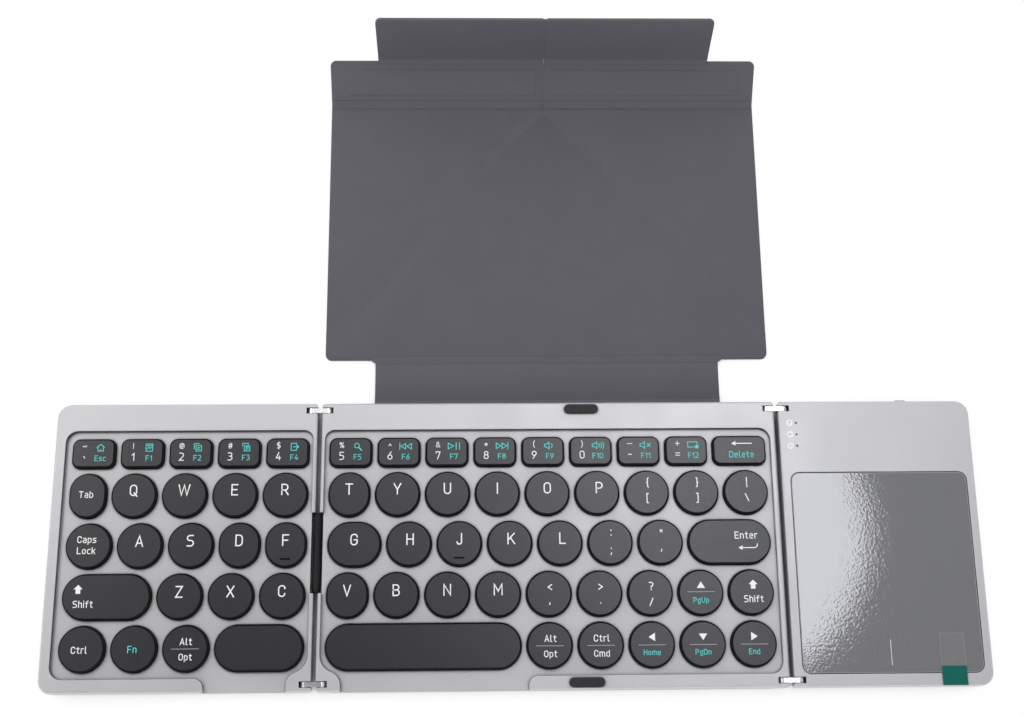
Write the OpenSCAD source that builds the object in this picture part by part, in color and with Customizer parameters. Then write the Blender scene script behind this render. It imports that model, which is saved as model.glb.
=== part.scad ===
// Pocket keyboard that folds in three, with round keys, a touchpad and a wrap-round cover.
// Millimetres. X runs along the keyboard, +Y points to the rear, +Z up.
// The origin is on the table, under the centre of the middle panel. It is drawn unfolded.

/* [Keys] */
// Front-to-back size of a round key
key_d = 14.6; // [13.8:0.1:15.2]
// Space between neighbouring round keys
key_gap = 1.8; // [1.5:0.1:2.2]
// Front-to-back size of a number row key
number_h = 9.6; // [9.2:0.1:11]
// Space between neighbouring number row keys
number_gap = 2; // [1.6:0.1:2.4]
// Corner radius of a number row key
number_r = 2.5; // [1.5:0.1:4]
// Space between the number row and the row in front of it
number_row_gap = 1.9; // [1.5:0.1:3]
// Width of the tab key and its gap, in steps of the round keys
tab_steps = 0.829; // [0.7:0.001:0.95]
// Width of the T key and its gap, in steps of the round keys
edge_steps = 0.927; // [0.8:0.001:0.98]
// Width of the delete key and its gap, in steps of the number keys
delete_steps = 1.232; // [1.1:0.001:1.5]
// Length of the enter key
enter_w = 27.1; // [24:0.1:30]
// Height of a key cap
key_h = 3.2; // [2.9:0.1:3.3]
// Height of the key tops over the panel's rim
key_proud = 0.6; // [0.5:0.05:0.7]
// Chamfer round the top of a key
key_edge = 0.5; // [0.3:0.05:0.8]
// How far a key goes down
key_travel = 1.3; // [1:0.1:1.4]
// Clearance between a key and its hole
key_clear = 0.2; // [0.15:0.05:0.3]
// Length of the homing bars on two keys
bar_l = 3.4; // [2:0.1:5]

/* [Panels] */
// Length of the middle panel
middle_w = 151; // [149:0.5:154]
// Length of the left panel
left_w = 85.8; // [84:0.1:88]
// Length of the right panel
right_w = 64.3; // [60:0.1:64.6]
// Thickness of a panel, its bottom cover included
panel_t = 5.6; // [5.5:0.1:6.5]
// Thickness of a bottom cover
bottom_t = 0.8; // [0.6:0.05:0.9]
// Outer corner radius of the side panels
corner_r = 4.5; // [3:0.1:7]
// Corner radius beside a fold
fold_r = 1; // [0.8:0.1:1.3]
// Chamfer along the top edges of a panel
edge_c = 0.5; // [0.3:0.05:0.8]
// Rim behind the key wells
rear_border = 9; // [8:0.1:12]
// Rim in front of the key wells
front_border = 4.4; // [4:0.1:6]

/* [Key wells] */
// Depth of the key wells
well_depth = 1.4; // [1.2:0.05:1.5]
// Floor shown behind the number row
well_rear = 2.8; // [2:0.1:4]
// Floor shown in front of the last row
well_front = 2.2; // [1.5:0.1:3]
// Rim at the outer end of the left well
well_end = 3.3; // [2.5:0.1:4]
// Rim between a well and a fold
well_rim = 1.1; // [1:0.05:1.3]
// Rim between the middle well and the right fold
well_right = 1.7; // [1.2:0.1:2.4]
// Corner radius of the wells
well_r = 4; // [2:0.1:4.5]
// Inner corner radius beside the left fold
well_fold_r = 3.2; // [2:0.1:4]
// Width of the boss round each front hinge of the left fold
boss_w = 7.8; // [7.2:0.1:9]
// Height at which the side of a boss starts to curve
boss_foot = 1.9; // [1:0.1:3]
// Hollow radius of a boss
boss_hollow_r = 5.6; // [4.5:0.1:7]
// Round radius of a boss
boss_round_r = 4.6; // [3.8:0.1:6]
// Width of the open front of the left well
left_open_w = 26.2; // [20:0.1:40]
// Width of the open front of the middle well
middle_open_w = 60; // [40:0.5:66]
// Radius where the front rim ends at an opening
open_r = 2.8; // [1:0.1:3.6]

/* [Fold hinges] */
// Space between two unfolded panels
fold_gap = 1.5; // [1.4:0.05:1.7]
// Distance between the two pivots of a link
pivot_span = 5.2; // [5.1:0.05:5.6]
// Depth of the pivots under the panel tops
pivot_depth = 1.8; // [1.7:0.05:1.9]
// Radius of a link's round ends
link_r = 1.5; // [1.2:0.05:1.6]
// Width of a link
link_w = 1.6; // [1.3:0.05:2]
// Clearance beside a link in its slot
link_clear = 0.2; // [0.15:0.05:0.25]
// Radius of a hinge pin
pin_r = 0.6; // [0.4:0.05:0.7]
// Length of a hinge pin
pin_l = 4; // [3.2:0.1:4.2]
// Distance from a panel's front or rear edge to the middle of its hinge
hinge_inset = 2.35; // [2.3:0.05:2.8]
// Length of the cable conduit in the left fold
conduit_l = 25.7; // [15:0.1:40]
// Radius of the cable conduit
conduit_r = 1.4; // [1.2:0.05:1.5]
// Distance of the conduit's middle under the pivots
conduit_drop = 0.8; // [0.7:0.05:0.9]
// Distance from the middle of the panel to the conduit's middle
conduit_y = -2.7; // [-10:0.1:10]

/* [Touchpad panel] */
// Front-to-back size of the touchpad
pad_d = 65.5; // [55:0.5:68]
// Rim beside the touchpad
pad_side = 2.7; // [2.2:0.1:4]
// Rim in front of the touchpad
pad_front = 4.1; // [3.6:0.1:6]
// Corner radius of the touchpad
pad_r = 3; // [1:0.1:4]
// Thickness of the touchpad
pad_t = 0.8; // [0.6:0.05:0.9]
// Gap round the touchpad
pad_gap = 0.25; // [0.2:0.05:0.3]
// Room under the touchpad
pad_room = 0.7; // [0.6:0.05:0.8]
// Thickness of the protective film
film_t = 0.12; // [0.08:0.01:0.15]
// Width of the film's pull tab
tab_w = 8; // [5:0.5:12]
// Length of the film's pull tab
tab_l = 16.4; // [12:0.1:20]
// Distance from the right end to the middle of the pull tab
tab_x = 12.7; // [9:0.1:20]
// Spacing of the status lights
light_pitch = 3.9; // [3:0.1:4.2]
// Radius of a status light
light_r = 0.3; // [0.25:0.05:0.5]
// Distance from the wall beside the right hinge slots to the status lights
light_in = 0.7; // [0.7:0.1:2]
// Distance from the rear edge to the first status light
light_y = 7.4; // [7:0.1:9]
// Width of the power switch
switch_w = 3.2; // [2.5:0.1:4]
// Height of the power switch
switch_h = 1.4; // [1:0.1:1.6]
// How far the power switch slides
switch_travel = 2; // [1.5:0.1:3]
// How far the power switch stands out
switch_proud = 0.7; // [0.5:0.05:0.8]
// Distance from the right end to the power switch
switch_x = 22.3; // [18:0.1:30]
// Width of the charging socket
port_w = 8.9; // [8:0.1:9.2]
// Height of the charging socket
port_h = 3.1; // [2.6:0.1:3.2]
// Depth of the charging socket
port_d = 7; // [6:0.1:7.6]
// Distance from the rear edge to the middle of the charging socket
port_y = 13.5; // [12:0.1:16]

/* [Inside] */
// Thickness of a key board
board_t = 0.4; // [0.3:0.05:0.45]
// Thickness of a rubber dome sheet
sheet_t = 0.3; // [0.2:0.05:0.3]
// Height of a dome, as pressed flat
dome_h = 1.5; // [1.2:0.05:1.6]
// Radius of a dome's foot
dome_r = 3; // [2.5:0.1:3.2]
// Radius of the hollow under a key
hollow_r = 3.7; // [3.5:0.1:4]
// Length of the battery
battery_l = 50; // [40:1:58]
// Width of the battery
battery_w = 34; // [25:0.5:40]
// Thickness of the battery
battery_t = 2.2; // [1.8:0.1:2.3]
// Thickness of the main circuit board
main_board_t = 0.8; // [0.6:0.05:1]
// Distance from the middle of the touchpad to each snap disc
click_x = 15; // [10:0.5:24]
// Distance from the touchpad's front edge to the snap discs
click_y = 9; // [6:0.5:14]
// Radius of a cover screw's shank
screw_r = 0.7; // [0.5:0.05:0.8]
// Distance from a fold to the nearer cover screws
screw_near = 9; // [8:0.5:12]
// Distance from a fold to the further cover screws
screw_far = 50; // [40:0.5:54]

/* [Feet and pads] */
// Diameter of a rubber foot
foot_d = 8; // [6:0.5:10]
// Distance from a panel's edges to the middle of a foot
foot_inset = 9; // [8:0.5:14]
// Length of a rubber end pad
end_pad_l = 11.2; // [8:0.1:16]
// Width of a rubber end pad
end_pad_w = 2.8; // [2.2:0.1:3.2]
// Height of a rubber end pad over the rim
end_pad_h = 1.2; // [0.8:0.05:1.3]
// Depth of the seat of a rubber end pad
end_pad_seat = 0.6; // [0.4:0.1:1]

/* [Cover] */
// Thickness of the leather, which is also the height of the feet
leather_t = 1.2; // [1:0.05:1.4]
// Width of the neck and the flap
neck_w = 117; // [100:0.5:130]
// Width of the panels of the cover
cover_w = 151; // [140:0.5:152]
// Corner radius of the cover
cover_r = 2; // [1:0.1:5]
// Bare crease between two stiff pieces of the cover
crease = 0.6; // [0.5:0.05:0.8]
// Space between the halves at the middle crease
middle_crease = 1.4; // [1.3:0.1:2]
// Room behind the folded panels in the closed cover
neck_room = 1; // [0.9:0.05:1.5]
// Room over the folded panels in the closed cover
lid_room = 1.2; // [1.1:0.05:2]
// Room in front of the folded panels in the closed cover
strip_room = 0.5; // [0.4:0.05:1]
// Angle at which the strip stands up
strip_a = 37; // [32:1:45]
// Angle between the strip and the flap
flap_a = 38; // [20:1:50]
// Length of the flap
flap_l = 20; // [15:0.5:30]
// Height on the side edges at which the slanted creases start
slant_y = 6; // [3:0.5:12]
// Width of the magnet plates in the strip
magnet_w = 9; // [6:0.5:10]
// Length of a magnet plate
magnet_l = 67; // [50:1:69]

/* [Hidden] */
$fn = 48;
// overlap of a cutting shape past the face it cuts
cut = 0.5;
// steps in a drawn arc
arc_n = 8;

// Front-to-back layout, from the rear edge to the front edge
row_pitch = key_d + key_gap;
panel_d = rear_border + well_rear + number_h + number_row_gap + key_d + 3 * row_pitch
    + well_front + front_border;
rear_y = panel_d / 2;
front_y = -panel_d / 2;
well_rear_y = rear_y - rear_border;
well_front_y = front_y + front_border;
number_y = well_rear_y - well_rear - number_h / 2;
upper_y = number_y - number_h / 2 - number_row_gap - key_d / 2;

// Ends of the panels
middle_x0 = -middle_w / 2;
middle_x1 = middle_w / 2;
left_x1 = middle_x0 - fold_gap;
left_x0 = left_x1 - left_w;
right_x0 = middle_x1 + fold_gap;
right_x1 = right_x0 + right_w;

// Heights
panel_z = leather_t;
frame_z = panel_z + bottom_t;
top_z = panel_z + panel_t;
frame_h = top_z - frame_z;
floor_z = top_z - well_depth;
key_z = top_z + key_proud - key_h;
pocket_h = board_t + sheet_t + 0.1;
sheet_z = frame_z + board_t;
dome_z = sheet_z + sheet_t;

// Key fields: the key rows reach from one side of a field to the other
field_end = 2.5;
field_fold = 1.6;
left_field_x = left_x0 + well_end + field_end;
left_field_w = left_x1 - well_rim - 1.5 - left_field_x;
middle_field_x = middle_x0 + well_rim + field_fold + 0.1;
middle_field_w = middle_x1 - well_right - 1.9 - middle_field_x;

// Widths of the keys that fill up their rows
left_step = (left_field_w + key_gap) / (4 + tab_steps);
left_key_w = left_step - key_gap;
left_number_w = (left_field_w - 4 * number_gap) / 5;
tab_key_w = left_field_w - 4 * left_step;
narrow_w = (left_field_w - 3 * left_step - key_gap) / 2;
wide_w = left_field_w - 3 * left_step;
middle_step = (middle_field_w + key_gap) / (8 + edge_steps);
middle_key_w = middle_step - key_gap;
number_step = (middle_field_w + number_gap) / (8 + delete_steps);
delete_w = middle_field_w - 8 * number_step;
edge_w = middle_field_w - 8 * middle_step;
g_key_w = middle_field_w - 6 * middle_step - key_gap - enter_w;
space_w = middle_field_w - 5 * middle_step;

// A row is [middle in Y, depth, corner radius limit, space between keys, [key widths]]
function round_row(n, widths) = [upper_y - n * row_pitch, key_d, key_d / 2, key_gap, widths];
function number_row(widths) = [number_y, number_h, number_r, number_gap, widths];
left_rows = [
    number_row([for (i = [0:4]) left_number_w]),
    round_row(0, [tab_key_w, left_key_w, left_key_w, left_key_w, left_key_w]),
    round_row(1, [left_key_w, left_key_w, left_key_w, narrow_w, narrow_w]),
    round_row(2, [wide_w, left_key_w, left_key_w, left_key_w]),
    round_row(3, [left_key_w, left_key_w, left_key_w, wide_w])
];
middle_rows = [
    number_row(concat([for (i = [0:7]) number_step - number_gap], [delete_w])),
    round_row(0, concat([edge_w], [for (i = [0:7]) middle_key_w])),
    round_row(1, concat([g_key_w], [for (i = [0:5]) middle_key_w], [enter_w])),
    round_row(2, concat([edge_w], [for (i = [0:7]) middle_key_w])),
    round_row(3, concat([space_w], [for (i = [0:4]) middle_key_w]))
];
function before(widths, i) = i == 0 ? 0 : widths[i - 1] + before(widths, i - 1);
function key_x(row, i) = before(row[4], i) + i * row[3];
function key_r(row, i) = min(row[2], row[4][i] / 2, row[1] / 2);
home_row = 2;
left_home_key = 4;
right_home_key = 2;

// Fold hinges
pivot_z = top_z - pivot_depth;
pivot_in = (pivot_span - fold_gap) / 2;
left_fold_x = middle_x0 - fold_gap / 2;
right_fold_x = middle_x1 + fold_gap / 2;
hinge_ys = [front_y + hinge_inset, rear_y - hinge_inset];
slot_w = link_w + 2 * link_clear;
slot_in = pivot_in + link_r + 0.35;
slot_z = pivot_z - link_r - 0.35;
fit_clear = 0.05;
seat_clear = 0.02;
conduit_clear = 0.3;

// Touchpad panel
pad_x0 = right_x0 + pad_side;
pad_x1 = right_x1 - pad_side;
pad_y0 = front_y + pad_front;
pad_y1 = pad_y0 + pad_d;
pad_drop = 0.1;
pad_z = top_z - pad_drop - pad_t;
recess_z = pad_z - pad_room;
web_t = 0.8;
cavity_z1 = recess_z - web_t;
cavity_x0 = right_x0 + slot_in + 1.3;
cavity_x1 = right_x1 - 2.5;
cavity_y0 = front_y + 6;
cavity_y1 = rear_y - 5;
switch_z = frame_z + 1.4;
port_z = frame_z + 0.1;
bay_w = 16;
screw_head_r = 2 * screw_r + 0.2;
screw_head_h = 0.6 * bottom_t;

// Cover
fold_face_gap = pivot_span - 2 * pivot_depth;
stack_h = leather_t + 2 * panel_t + fold_face_gap + leather_t;
neck_y = rear_y + neck_room;
neck_l = stack_h + lid_room - leather_t;
lid_y = neck_y + neck_l;
lid_l = panel_d + neck_room + strip_room;
strip_y = lid_y + lid_l;
lid_tilt = 0.5;
strip_l = leather_t + neck_l - lid_l * sin(lid_tilt) + 0.3;
slant_a = atan2(lid_l - slant_y, cover_w / 2);
magnet_t = 0.9;
magnet_seat = 0.7;
far = 300;

// Points of an arc round c, from angle a0 to angle a1
function arc(c, r, a0, a1) =
    [for (i = [0:arc_n]) let (a = a0 + (a1 - a0) * i / arc_n) c + r * [cos(a), sin(a)]];

// Wall of a hinge boss: up its side at x = 0, round over the boss, and hollow into the rim
// wall, which stands w further along
function boss_wall(w, foot_y) =
    let (rs = boss_hollow_r + boss_round_r,
         turn = acos(1 - w / rs),
         c_round = [boss_round_r, foot_y],
         c_hollow = c_round + rs * [-cos(turn), sin(turn)],
         hollow = arc(c_hollow, boss_hollow_r, -turn, 0))
    concat(arc(c_round, boss_round_r, 180, 180 - turn), [for (i = [1:arc_n]) hollow[i]]);

// Slab with chamfered top edges, ra at its left corners and rb at its right corners
module slab(w, d, h, c, ra, rb) {
    if (w - ra - rb > 0.001)
        translate([ra, 0, 0])
            rotate([90, 0, 90])
                linear_extrude(w - ra - rb)
                    polygon([[0, 0], [d, 0], [d, h - c], [d - c, h], [c, h], [0, h - c]]);
    slab_end(ra, d, h, c);
    translate([w, 0, 0]) mirror([1, 0, 0]) slab_end(rb, d, h, c);
}

module slab_end(r, d, h, c) {
    if (d - 2 * r > 0.001)
        translate([0, d - r, 0])
            rotate([90, 0, 0])
                linear_extrude(d - 2 * r)
                    polygon([[0, 0], [r, 0], [r, h], [c, h], [0, h - c]]);
    for (y = (d - 2 * r > 0.001) ? [r, d - r] : [r])
        translate([r, y, 0])
            rotate_extrude()
                polygon([[0, 0], [r, 0], [r, h - c], [r - c, h], [0, h]]);
}

// Flat outline with rounded corners, ra at its left corners and rb at its right corners
module outline(w, d, ra, rb) {
    if (w - ra - rb > 0.001) translate([ra, 0]) square([w - ra - rb, d]);
    outline_end(ra, d);
    translate([w, 0]) mirror([1, 0]) outline_end(rb, d);
}

module outline_end(r, d) {
    if (d - 2 * r > 0.001) translate([0, r]) square([r, d - 2 * r]);
    for (y = (d - 2 * r > 0.001) ? [r, d - r] : [r]) translate([r, y]) circle(r);
}

module capsule(w, d) {
    r = d / 2;
    translate([-w / 2 + r, -r]) square([w - d, d]);
    for (x = [-w / 2 + r, w / 2 - r]) translate([x, 0]) circle(r);
}

// Keys

// Puts its children at the middle of each picked key: picks are [row, first key, last key]
module at_keys(rows, x0, picks) {
    for (p = picks)
        for (i = [p[1]:p[2]]) {
            row = rows[p[0]];
            translate([x0 + key_x(row, i) + row[4][i] / 2, row[0], 0]) {
                $key_w = row[4][i];
                $key_d = row[1];
                $key_r = key_r(row, i);
                children();
            }
        }
}

// A cap with a chamfered top, hollow over its dome
module key_cap() {
    translate([0, 0, key_z])
        difference() {
            translate([-$key_w / 2, -$key_d / 2, 0])
                slab($key_w, $key_d, key_h, key_edge, $key_r, $key_r);
            translate([0, 0, -cut])
                cylinder(r = hollow_r, h = cut + dome_z + dome_h + key_travel + 0.2 - key_z);
        }
}

module homing_bar() {
    translate([-bar_l / 2, -0.34 * key_d, key_z + key_h]) cube([bar_l, 0.5, 0.2]);
}

module left_keys(picks) {
    color("#3c3c40") at_keys(left_rows, left_field_x, picks) key_cap();
}

module middle_keys(picks) {
    color("#3c3c40") at_keys(middle_rows, middle_field_x, picks) key_cap();
}

module all_picks_children(rows, x0) {
    at_keys(rows, x0, [for (r = [0:len(rows) - 1]) [r, 0, len(rows[r][4]) - 1]]) children();
}

module key_hole() {
    translate([-$key_w / 2 - key_clear, -$key_d / 2 - key_clear, frame_z - cut])
        linear_extrude(floor_z - frame_z + 2 * cut)
            outline($key_w + 2 * key_clear, $key_d + 2 * key_clear,
                $key_r + key_clear, $key_r + key_clear);
}

module esc_key() left_keys([[0, 0, 0]]);
module left_number_keys() left_keys([[0, 1, 4]]);
module tab_key() left_keys([[1, 0, 0]]);
module left_upper_keys() left_keys([[1, 1, 4]]);
module caps_lock_key() left_keys([[2, 0, 0]]);
module left_shift_key() left_keys([[3, 0, 0]]);
module left_modifier_keys() left_keys([[4, 0, 2]]);
module left_space_key() left_keys([[4, 3, 3]]);
module left_lower_keys() {
    left_keys([[2, 1, 4], [3, 1, 3]]);
    color("#3c3c40")
        at_keys(left_rows, left_field_x, [[home_row, left_home_key, left_home_key]]) homing_bar();
}

module number_keys() middle_keys([[0, 0, 7]]);
module delete_key() middle_keys([[0, 8, 8]]);
module upper_keys() middle_keys([[1, 0, 8]]);
module enter_key() middle_keys([[2, 7, 7]]);
module lower_keys() middle_keys([[3, 0, 6]]);
module right_shift_key() middle_keys([[3, 8, 8]]);
module arrow_keys() middle_keys([[3, 7, 7], [4, 3, 5]]);
module space_key() middle_keys([[4, 0, 0]]);
module modifier_keys() middle_keys([[4, 1, 2]]);
module home_keys() {
    middle_keys([[2, 0, 6]]);
    color("#3c3c40")
        at_keys(middle_rows, middle_field_x, [[home_row, right_home_key, right_home_key]])
            homing_bar();
}

// Boards and dome sheets under the keys

module under_keys(x0, w, inset) {
    margin = 0.9;
    y0 = well_front_y + well_front - margin;
    translate([x0 - margin + inset, y0 + inset])
        square([w + 2 * (margin - inset), well_rear_y - well_rear + margin - y0 - 2 * inset]);
}

module key_board(x0, w) {
    color("#0f4d2f")
        translate([0, 0, frame_z])
            linear_extrude(board_t) under_keys(x0, w, 0.3);
}

module dome_sheet(x0, w, rows) {
    color("#b9bcc0") {
        translate([0, 0, sheet_z]) linear_extrude(sheet_t) under_keys(x0, w, 0.3);
        all_picks_children(rows, x0)
            translate([0, 0, dome_z]) cylinder(r1 = dome_r, r2 = 0.75 * dome_r, h = dome_h);
    }
}

module left_board() key_board(left_field_x, left_field_w);
module middle_board() key_board(middle_field_x, middle_field_w);
module left_domes() dome_sheet(left_field_x, left_field_w, left_rows);
module middle_domes() dome_sheet(middle_field_x, middle_field_w, middle_rows);

// Frames

// Slots and pin bores beside a fold. The panel's edge is at x, and it reaches along side.
module hinge_slots(x, side) {
    for (y = hinge_ys) {
        translate([x + side * (slot_in - cut) / 2, y, slot_z + frame_h / 2])
            cube([slot_in + cut, slot_w, frame_h], center = true);
        translate([x + side * pivot_in, y, pivot_z])
            rotate([90, 0, 0])
                cylinder(r = pin_r + seat_clear, h = pin_l + 0.1, center = true);
    }
}

// Room for the conduit, which swings round the pivots: beside them when unfolded and over
// them when folded. A corner of the panel stays between the two, inside the swing.
module conduit_room(x, side) {
    reach = conduit_r + conduit_clear;
    corner = (norm([pivot_span / 2, conduit_drop]) - reach) / sqrt(2);
    beside = pivot_in - corner;
    over = pivot_in - conduit_drop + reach;
    l = conduit_l + 2 * conduit_clear;
    translate([x + side * (beside - cut) / 2, conduit_y,
            pivot_z - conduit_drop - reach + frame_h / 2])
        cube([beside + cut, l, frame_h], center = true);
    translate([x + side * (over - cut) / 2, conduit_y, pivot_z + corner + frame_h / 2])
        cube([over + cut, l, frame_h], center = true);
}

module frame_slab(x0, w, ra, rb) {
    translate([x0, front_y, frame_z]) slab(w, panel_d, frame_h, edge_c, ra, rb);
}

// Recessed floor of the left well. Its front is open between the front rim and the boss.
module left_well() {
    x0 = left_x0 + well_end;
    x1 = left_x1 - well_rim;
    boss_x = left_x1 - boss_w;
    open_x = boss_x - left_open_w;
    wall = boss_wall(boss_w - well_rim, front_y + boss_foot);
    translate([0, 0, floor_z])
        linear_extrude(well_depth + cut)
            polygon(concat(
                arc([x0 + well_r, well_front_y + well_r], well_r, 180, 270),
                arc([open_x - open_r, well_front_y - open_r], open_r, 90, 0),
                [[open_x, front_y - cut], [boss_x, front_y - cut]],
                [for (p = wall) [boss_x + p[0], p[1]]],
                arc([x1 - well_fold_r, well_rear_y - well_fold_r], well_fold_r, 0, 90),
                arc([x0 + well_r, well_rear_y - well_r], well_r, 90, 180)));
}

// Recessed floor of the middle well, with its boss at the left
module middle_well() {
    x0 = middle_x0 + well_rim;
    x1 = middle_x1 - well_right;
    boss_x = middle_x0 + boss_w;
    open_x = boss_x + middle_open_w;
    wall = boss_wall(boss_w - well_rim, front_y + boss_foot);
    last = len(wall) - 1;
    translate([0, 0, floor_z])
        linear_extrude(well_depth + cut)
            polygon(concat(
                [for (i = [last:-1:0]) [boss_x - wall[i][0], wall[i][1]]],
                [[boss_x, front_y - cut], [open_x, front_y - cut]],
                arc([open_x + open_r, well_front_y - open_r], open_r, 180, 90),
                arc([x1 - well_r, well_front_y + well_r], well_r, 270, 360),
                arc([x1 - well_r, well_rear_y - well_r], well_r, 0, 90),
                arc([x0 + well_fold_r, well_rear_y - well_fold_r], well_fold_r, 90, 180)));
}

module board_pocket(x0, w) {
    translate([0, 0, frame_z - cut]) linear_extrude(pocket_h + cut) under_keys(x0, w, 0);
}

module left_frame() {
    color("#b9bbbe")
        difference() {
            frame_slab(left_x0, left_w, corner_r, fold_r);
            left_well();
            all_picks_children(left_rows, left_field_x) key_hole();
            board_pocket(left_field_x, left_field_w);
            hinge_slots(left_x1, -1);
            conduit_room(left_x1, -1);
            at_screws(left_x0, 1) screw_bore();
        }
}

module middle_frame() {
    color("#b9bbbe")
        difference() {
            frame_slab(middle_x0, middle_w, fold_r, fold_r);
            middle_well();
            all_picks_children(middle_rows, middle_field_x) key_hole();
            board_pocket(middle_field_x, middle_field_w);
            hinge_slots(middle_x0, 1);
            hinge_slots(middle_x1, -1);
            conduit_room(middle_x0, 1);
            at_end_pads()
                translate([0, 0, top_z - end_pad_seat])
                    linear_extrude(end_pad_seat + cut)
                        capsule(end_pad_l + 2 * seat_clear, end_pad_w + 2 * seat_clear);
        }
}

module right_frame() {
    color("#b9bbbe")
        difference() {
            frame_slab(right_x0, right_w, fold_r, corner_r);
            translate([pad_x0, pad_y0, recess_z])
                linear_extrude(top_z - recess_z + cut)
                    outline(pad_x1 - pad_x0, pad_d, pad_r, pad_r);
            translate([cavity_x0, cavity_y0, frame_z - cut])
                cube([cavity_x1 - cavity_x0, cavity_y1 - cavity_y0, cavity_z1 - frame_z + cut]);
            hinge_slots(right_x0, 1);
            at_screws(right_x1, -1) screw_bore();
            at_lights() translate([0, 0, frame_z]) cylinder(r = light_r + 0.05, h = frame_h + cut);
            switch_slot();
            translate([right_x1 - port_d - 0.3, rear_y - port_y - port_w / 2 - 0.15, frame_z - cut])
                cube([port_d + 0.3 + cut, port_w + 0.3, port_z + port_h + 0.15 - frame_z + cut]);
        }
}

// Rubber end pads, where the ends of the folded panels meet

module at_end_pads() {
    meet_x = (middle_x0 + left_w + middle_x1 - right_w) / 2;
    for (y = [front_y + 2.3, rear_y - 2.3]) translate([meet_x, y, 0]) children();
}

module end_pads() {
    color("#1b1b1d")
        at_end_pads()
            translate([0, 0, top_z - end_pad_seat])
                linear_extrude(end_pad_seat + end_pad_h) capsule(end_pad_l, end_pad_w);
}

// Bottom covers, screws and feet

module bottom_plate(x0, w, ra, rb) {
    inset = 0.3;
    translate([x0 + inset, front_y + inset, panel_z])
        linear_extrude(bottom_t)
            outline(w - 2 * inset, panel_d - 2 * inset, ra - inset, rb - inset);
}

module at_screws(x, side) {
    for (y = [front_y + 2.4, rear_y - 4])
        for (dx = [screw_near, screw_far]) translate([x + side * dx, y, 0]) children();
}

module screw_bore() {
    translate([0, 0, panel_z - cut]) cylinder(r = screw_r + seat_clear, h = cut + 3.6);
}

module screw_seat() {
    screw_bore();
    translate([0, 0, panel_z - cut])
        cylinder(r = screw_head_r + seat_clear, h = cut + screw_head_h);
}

module cover_screw() {
    sunk = 0.1;
    recess_d = 0.2;
    recess_w = 0.3;
    translate([0, 0, panel_z + sunk])
        difference() {
            rotate_extrude()
                polygon([[0, 0], [screw_head_r, 0], [screw_head_r, screw_head_h - sunk],
                    [screw_r, screw_head_h - sunk], [screw_r, 3.2], [0, 3.2]]);
            for (a = [0, 90])
                rotate([0, 0, a])
                    translate([-0.6 * screw_head_r, -recess_w / 2, -cut])
                        cube([1.2 * screw_head_r, recess_w, cut + recess_d]);
        }
}

module left_screws() {
    color("#6d6f73") at_screws(left_x0, 1) cover_screw();
}

module right_screws() {
    color("#6d6f73") at_screws(right_x1, -1) cover_screw();
}

module left_bottom() {
    color("#8f9194")
        difference() {
            bottom_plate(left_x0, left_w, corner_r, fold_r);
            at_screws(left_x0, 1) screw_seat();
        }
}

module middle_bottom() {
    color("#8f9194") bottom_plate(middle_x0, middle_w, fold_r, fold_r);
}

module right_bottom() {
    color("#8f9194")
        difference() {
            bottom_plate(right_x0, right_w, fold_r, corner_r);
            at_screws(right_x1, -1) screw_seat();
        }
}

module feet(x0, w) {
    c = 0.3;
    color("#1b1b1d")
        for (x = [x0 + foot_inset, x0 + w - foot_inset])
            for (y = [front_y + foot_inset, rear_y - foot_inset])
                translate([x, y, 0]) {
                    cylinder(r1 = foot_d / 2 - c, r2 = foot_d / 2, h = c);
                    translate([0, 0, c]) cylinder(r = foot_d / 2, h = leather_t - c);
                }
}

module left_feet() feet(left_x0, left_w);
module right_feet() feet(right_x0, right_w);

// Fold hinges: chrome links that turn on a pin in each of the two panels they join

module pins(x) {
    color("#d5d7da")
        for (y = hinge_ys)
            translate([x, y, pivot_z]) rotate([90, 0, 0]) cylinder(r = pin_r, h = pin_l, center = true);
}

module links(x) {
    color("#e3e5e8")
        for (y = hinge_ys)
            translate([x, y, pivot_z])
                rotate([90, 0, 0])
                    linear_extrude(link_w, center = true)
                        difference() {
                            capsule(pivot_span + 2 * link_r, 2 * link_r);
                            for (dx = [-pivot_span / 2, pivot_span / 2])
                                translate([dx, 0]) circle(pin_r + fit_clear);
                        }
}

module left_links() links(left_fold_x);
module right_links() links(right_fold_x);
module left_pins() pins(left_x1 - pivot_in);
module right_pins() pins(right_x0 + pivot_in);
module middle_pins() {
    pins(middle_x0 + pivot_in);
    pins(middle_x1 - pivot_in);
}

// Barrel in the left fold that holds the cable between the two panels
module cable_conduit() {
    cap_l = 0.4;
    color("#151517")
        translate([left_fold_x, conduit_y + conduit_l / 2, pivot_z - conduit_drop])
            rotate([90, 0, 0])
                rotate_extrude()
                    polygon([[0, 0], [conduit_r - cap_l, 0], [conduit_r, cap_l],
                        [conduit_r, conduit_l - cap_l], [conduit_r - cap_l, conduit_l],
                        [0, conduit_l]]);
}

// Touchpad panel

// The plate tips on two lugs under its rear edge
module touchpad() {
    w = pad_x1 - pad_x0 - 2 * pad_gap;
    lug = 6;
    color("#8e9094") {
        translate([pad_x0 + pad_gap, pad_y0 + pad_gap, pad_z])
            linear_extrude(pad_t) outline(w, pad_d - 2 * pad_gap, pad_r - pad_gap, pad_r - pad_gap);
        for (x = [pad_x0 + 6, pad_x1 - 6 - lug])
            translate([x, pad_y1 - pad_gap - 1.6, recess_z + 0.1]) cube([lug, 1.2, pad_room - 0.1]);
    }
}

module touchpad_film() {
    in = 0.5;
    color("#c9d3df", 0.5)
        translate([pad_x0 + in, pad_y0 + in, pad_z + pad_t])
            linear_extrude(film_t)
                outline(pad_x1 - pad_x0 - 2 * in, pad_d - 2 * in, pad_r - in, pad_r - in);
}

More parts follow.
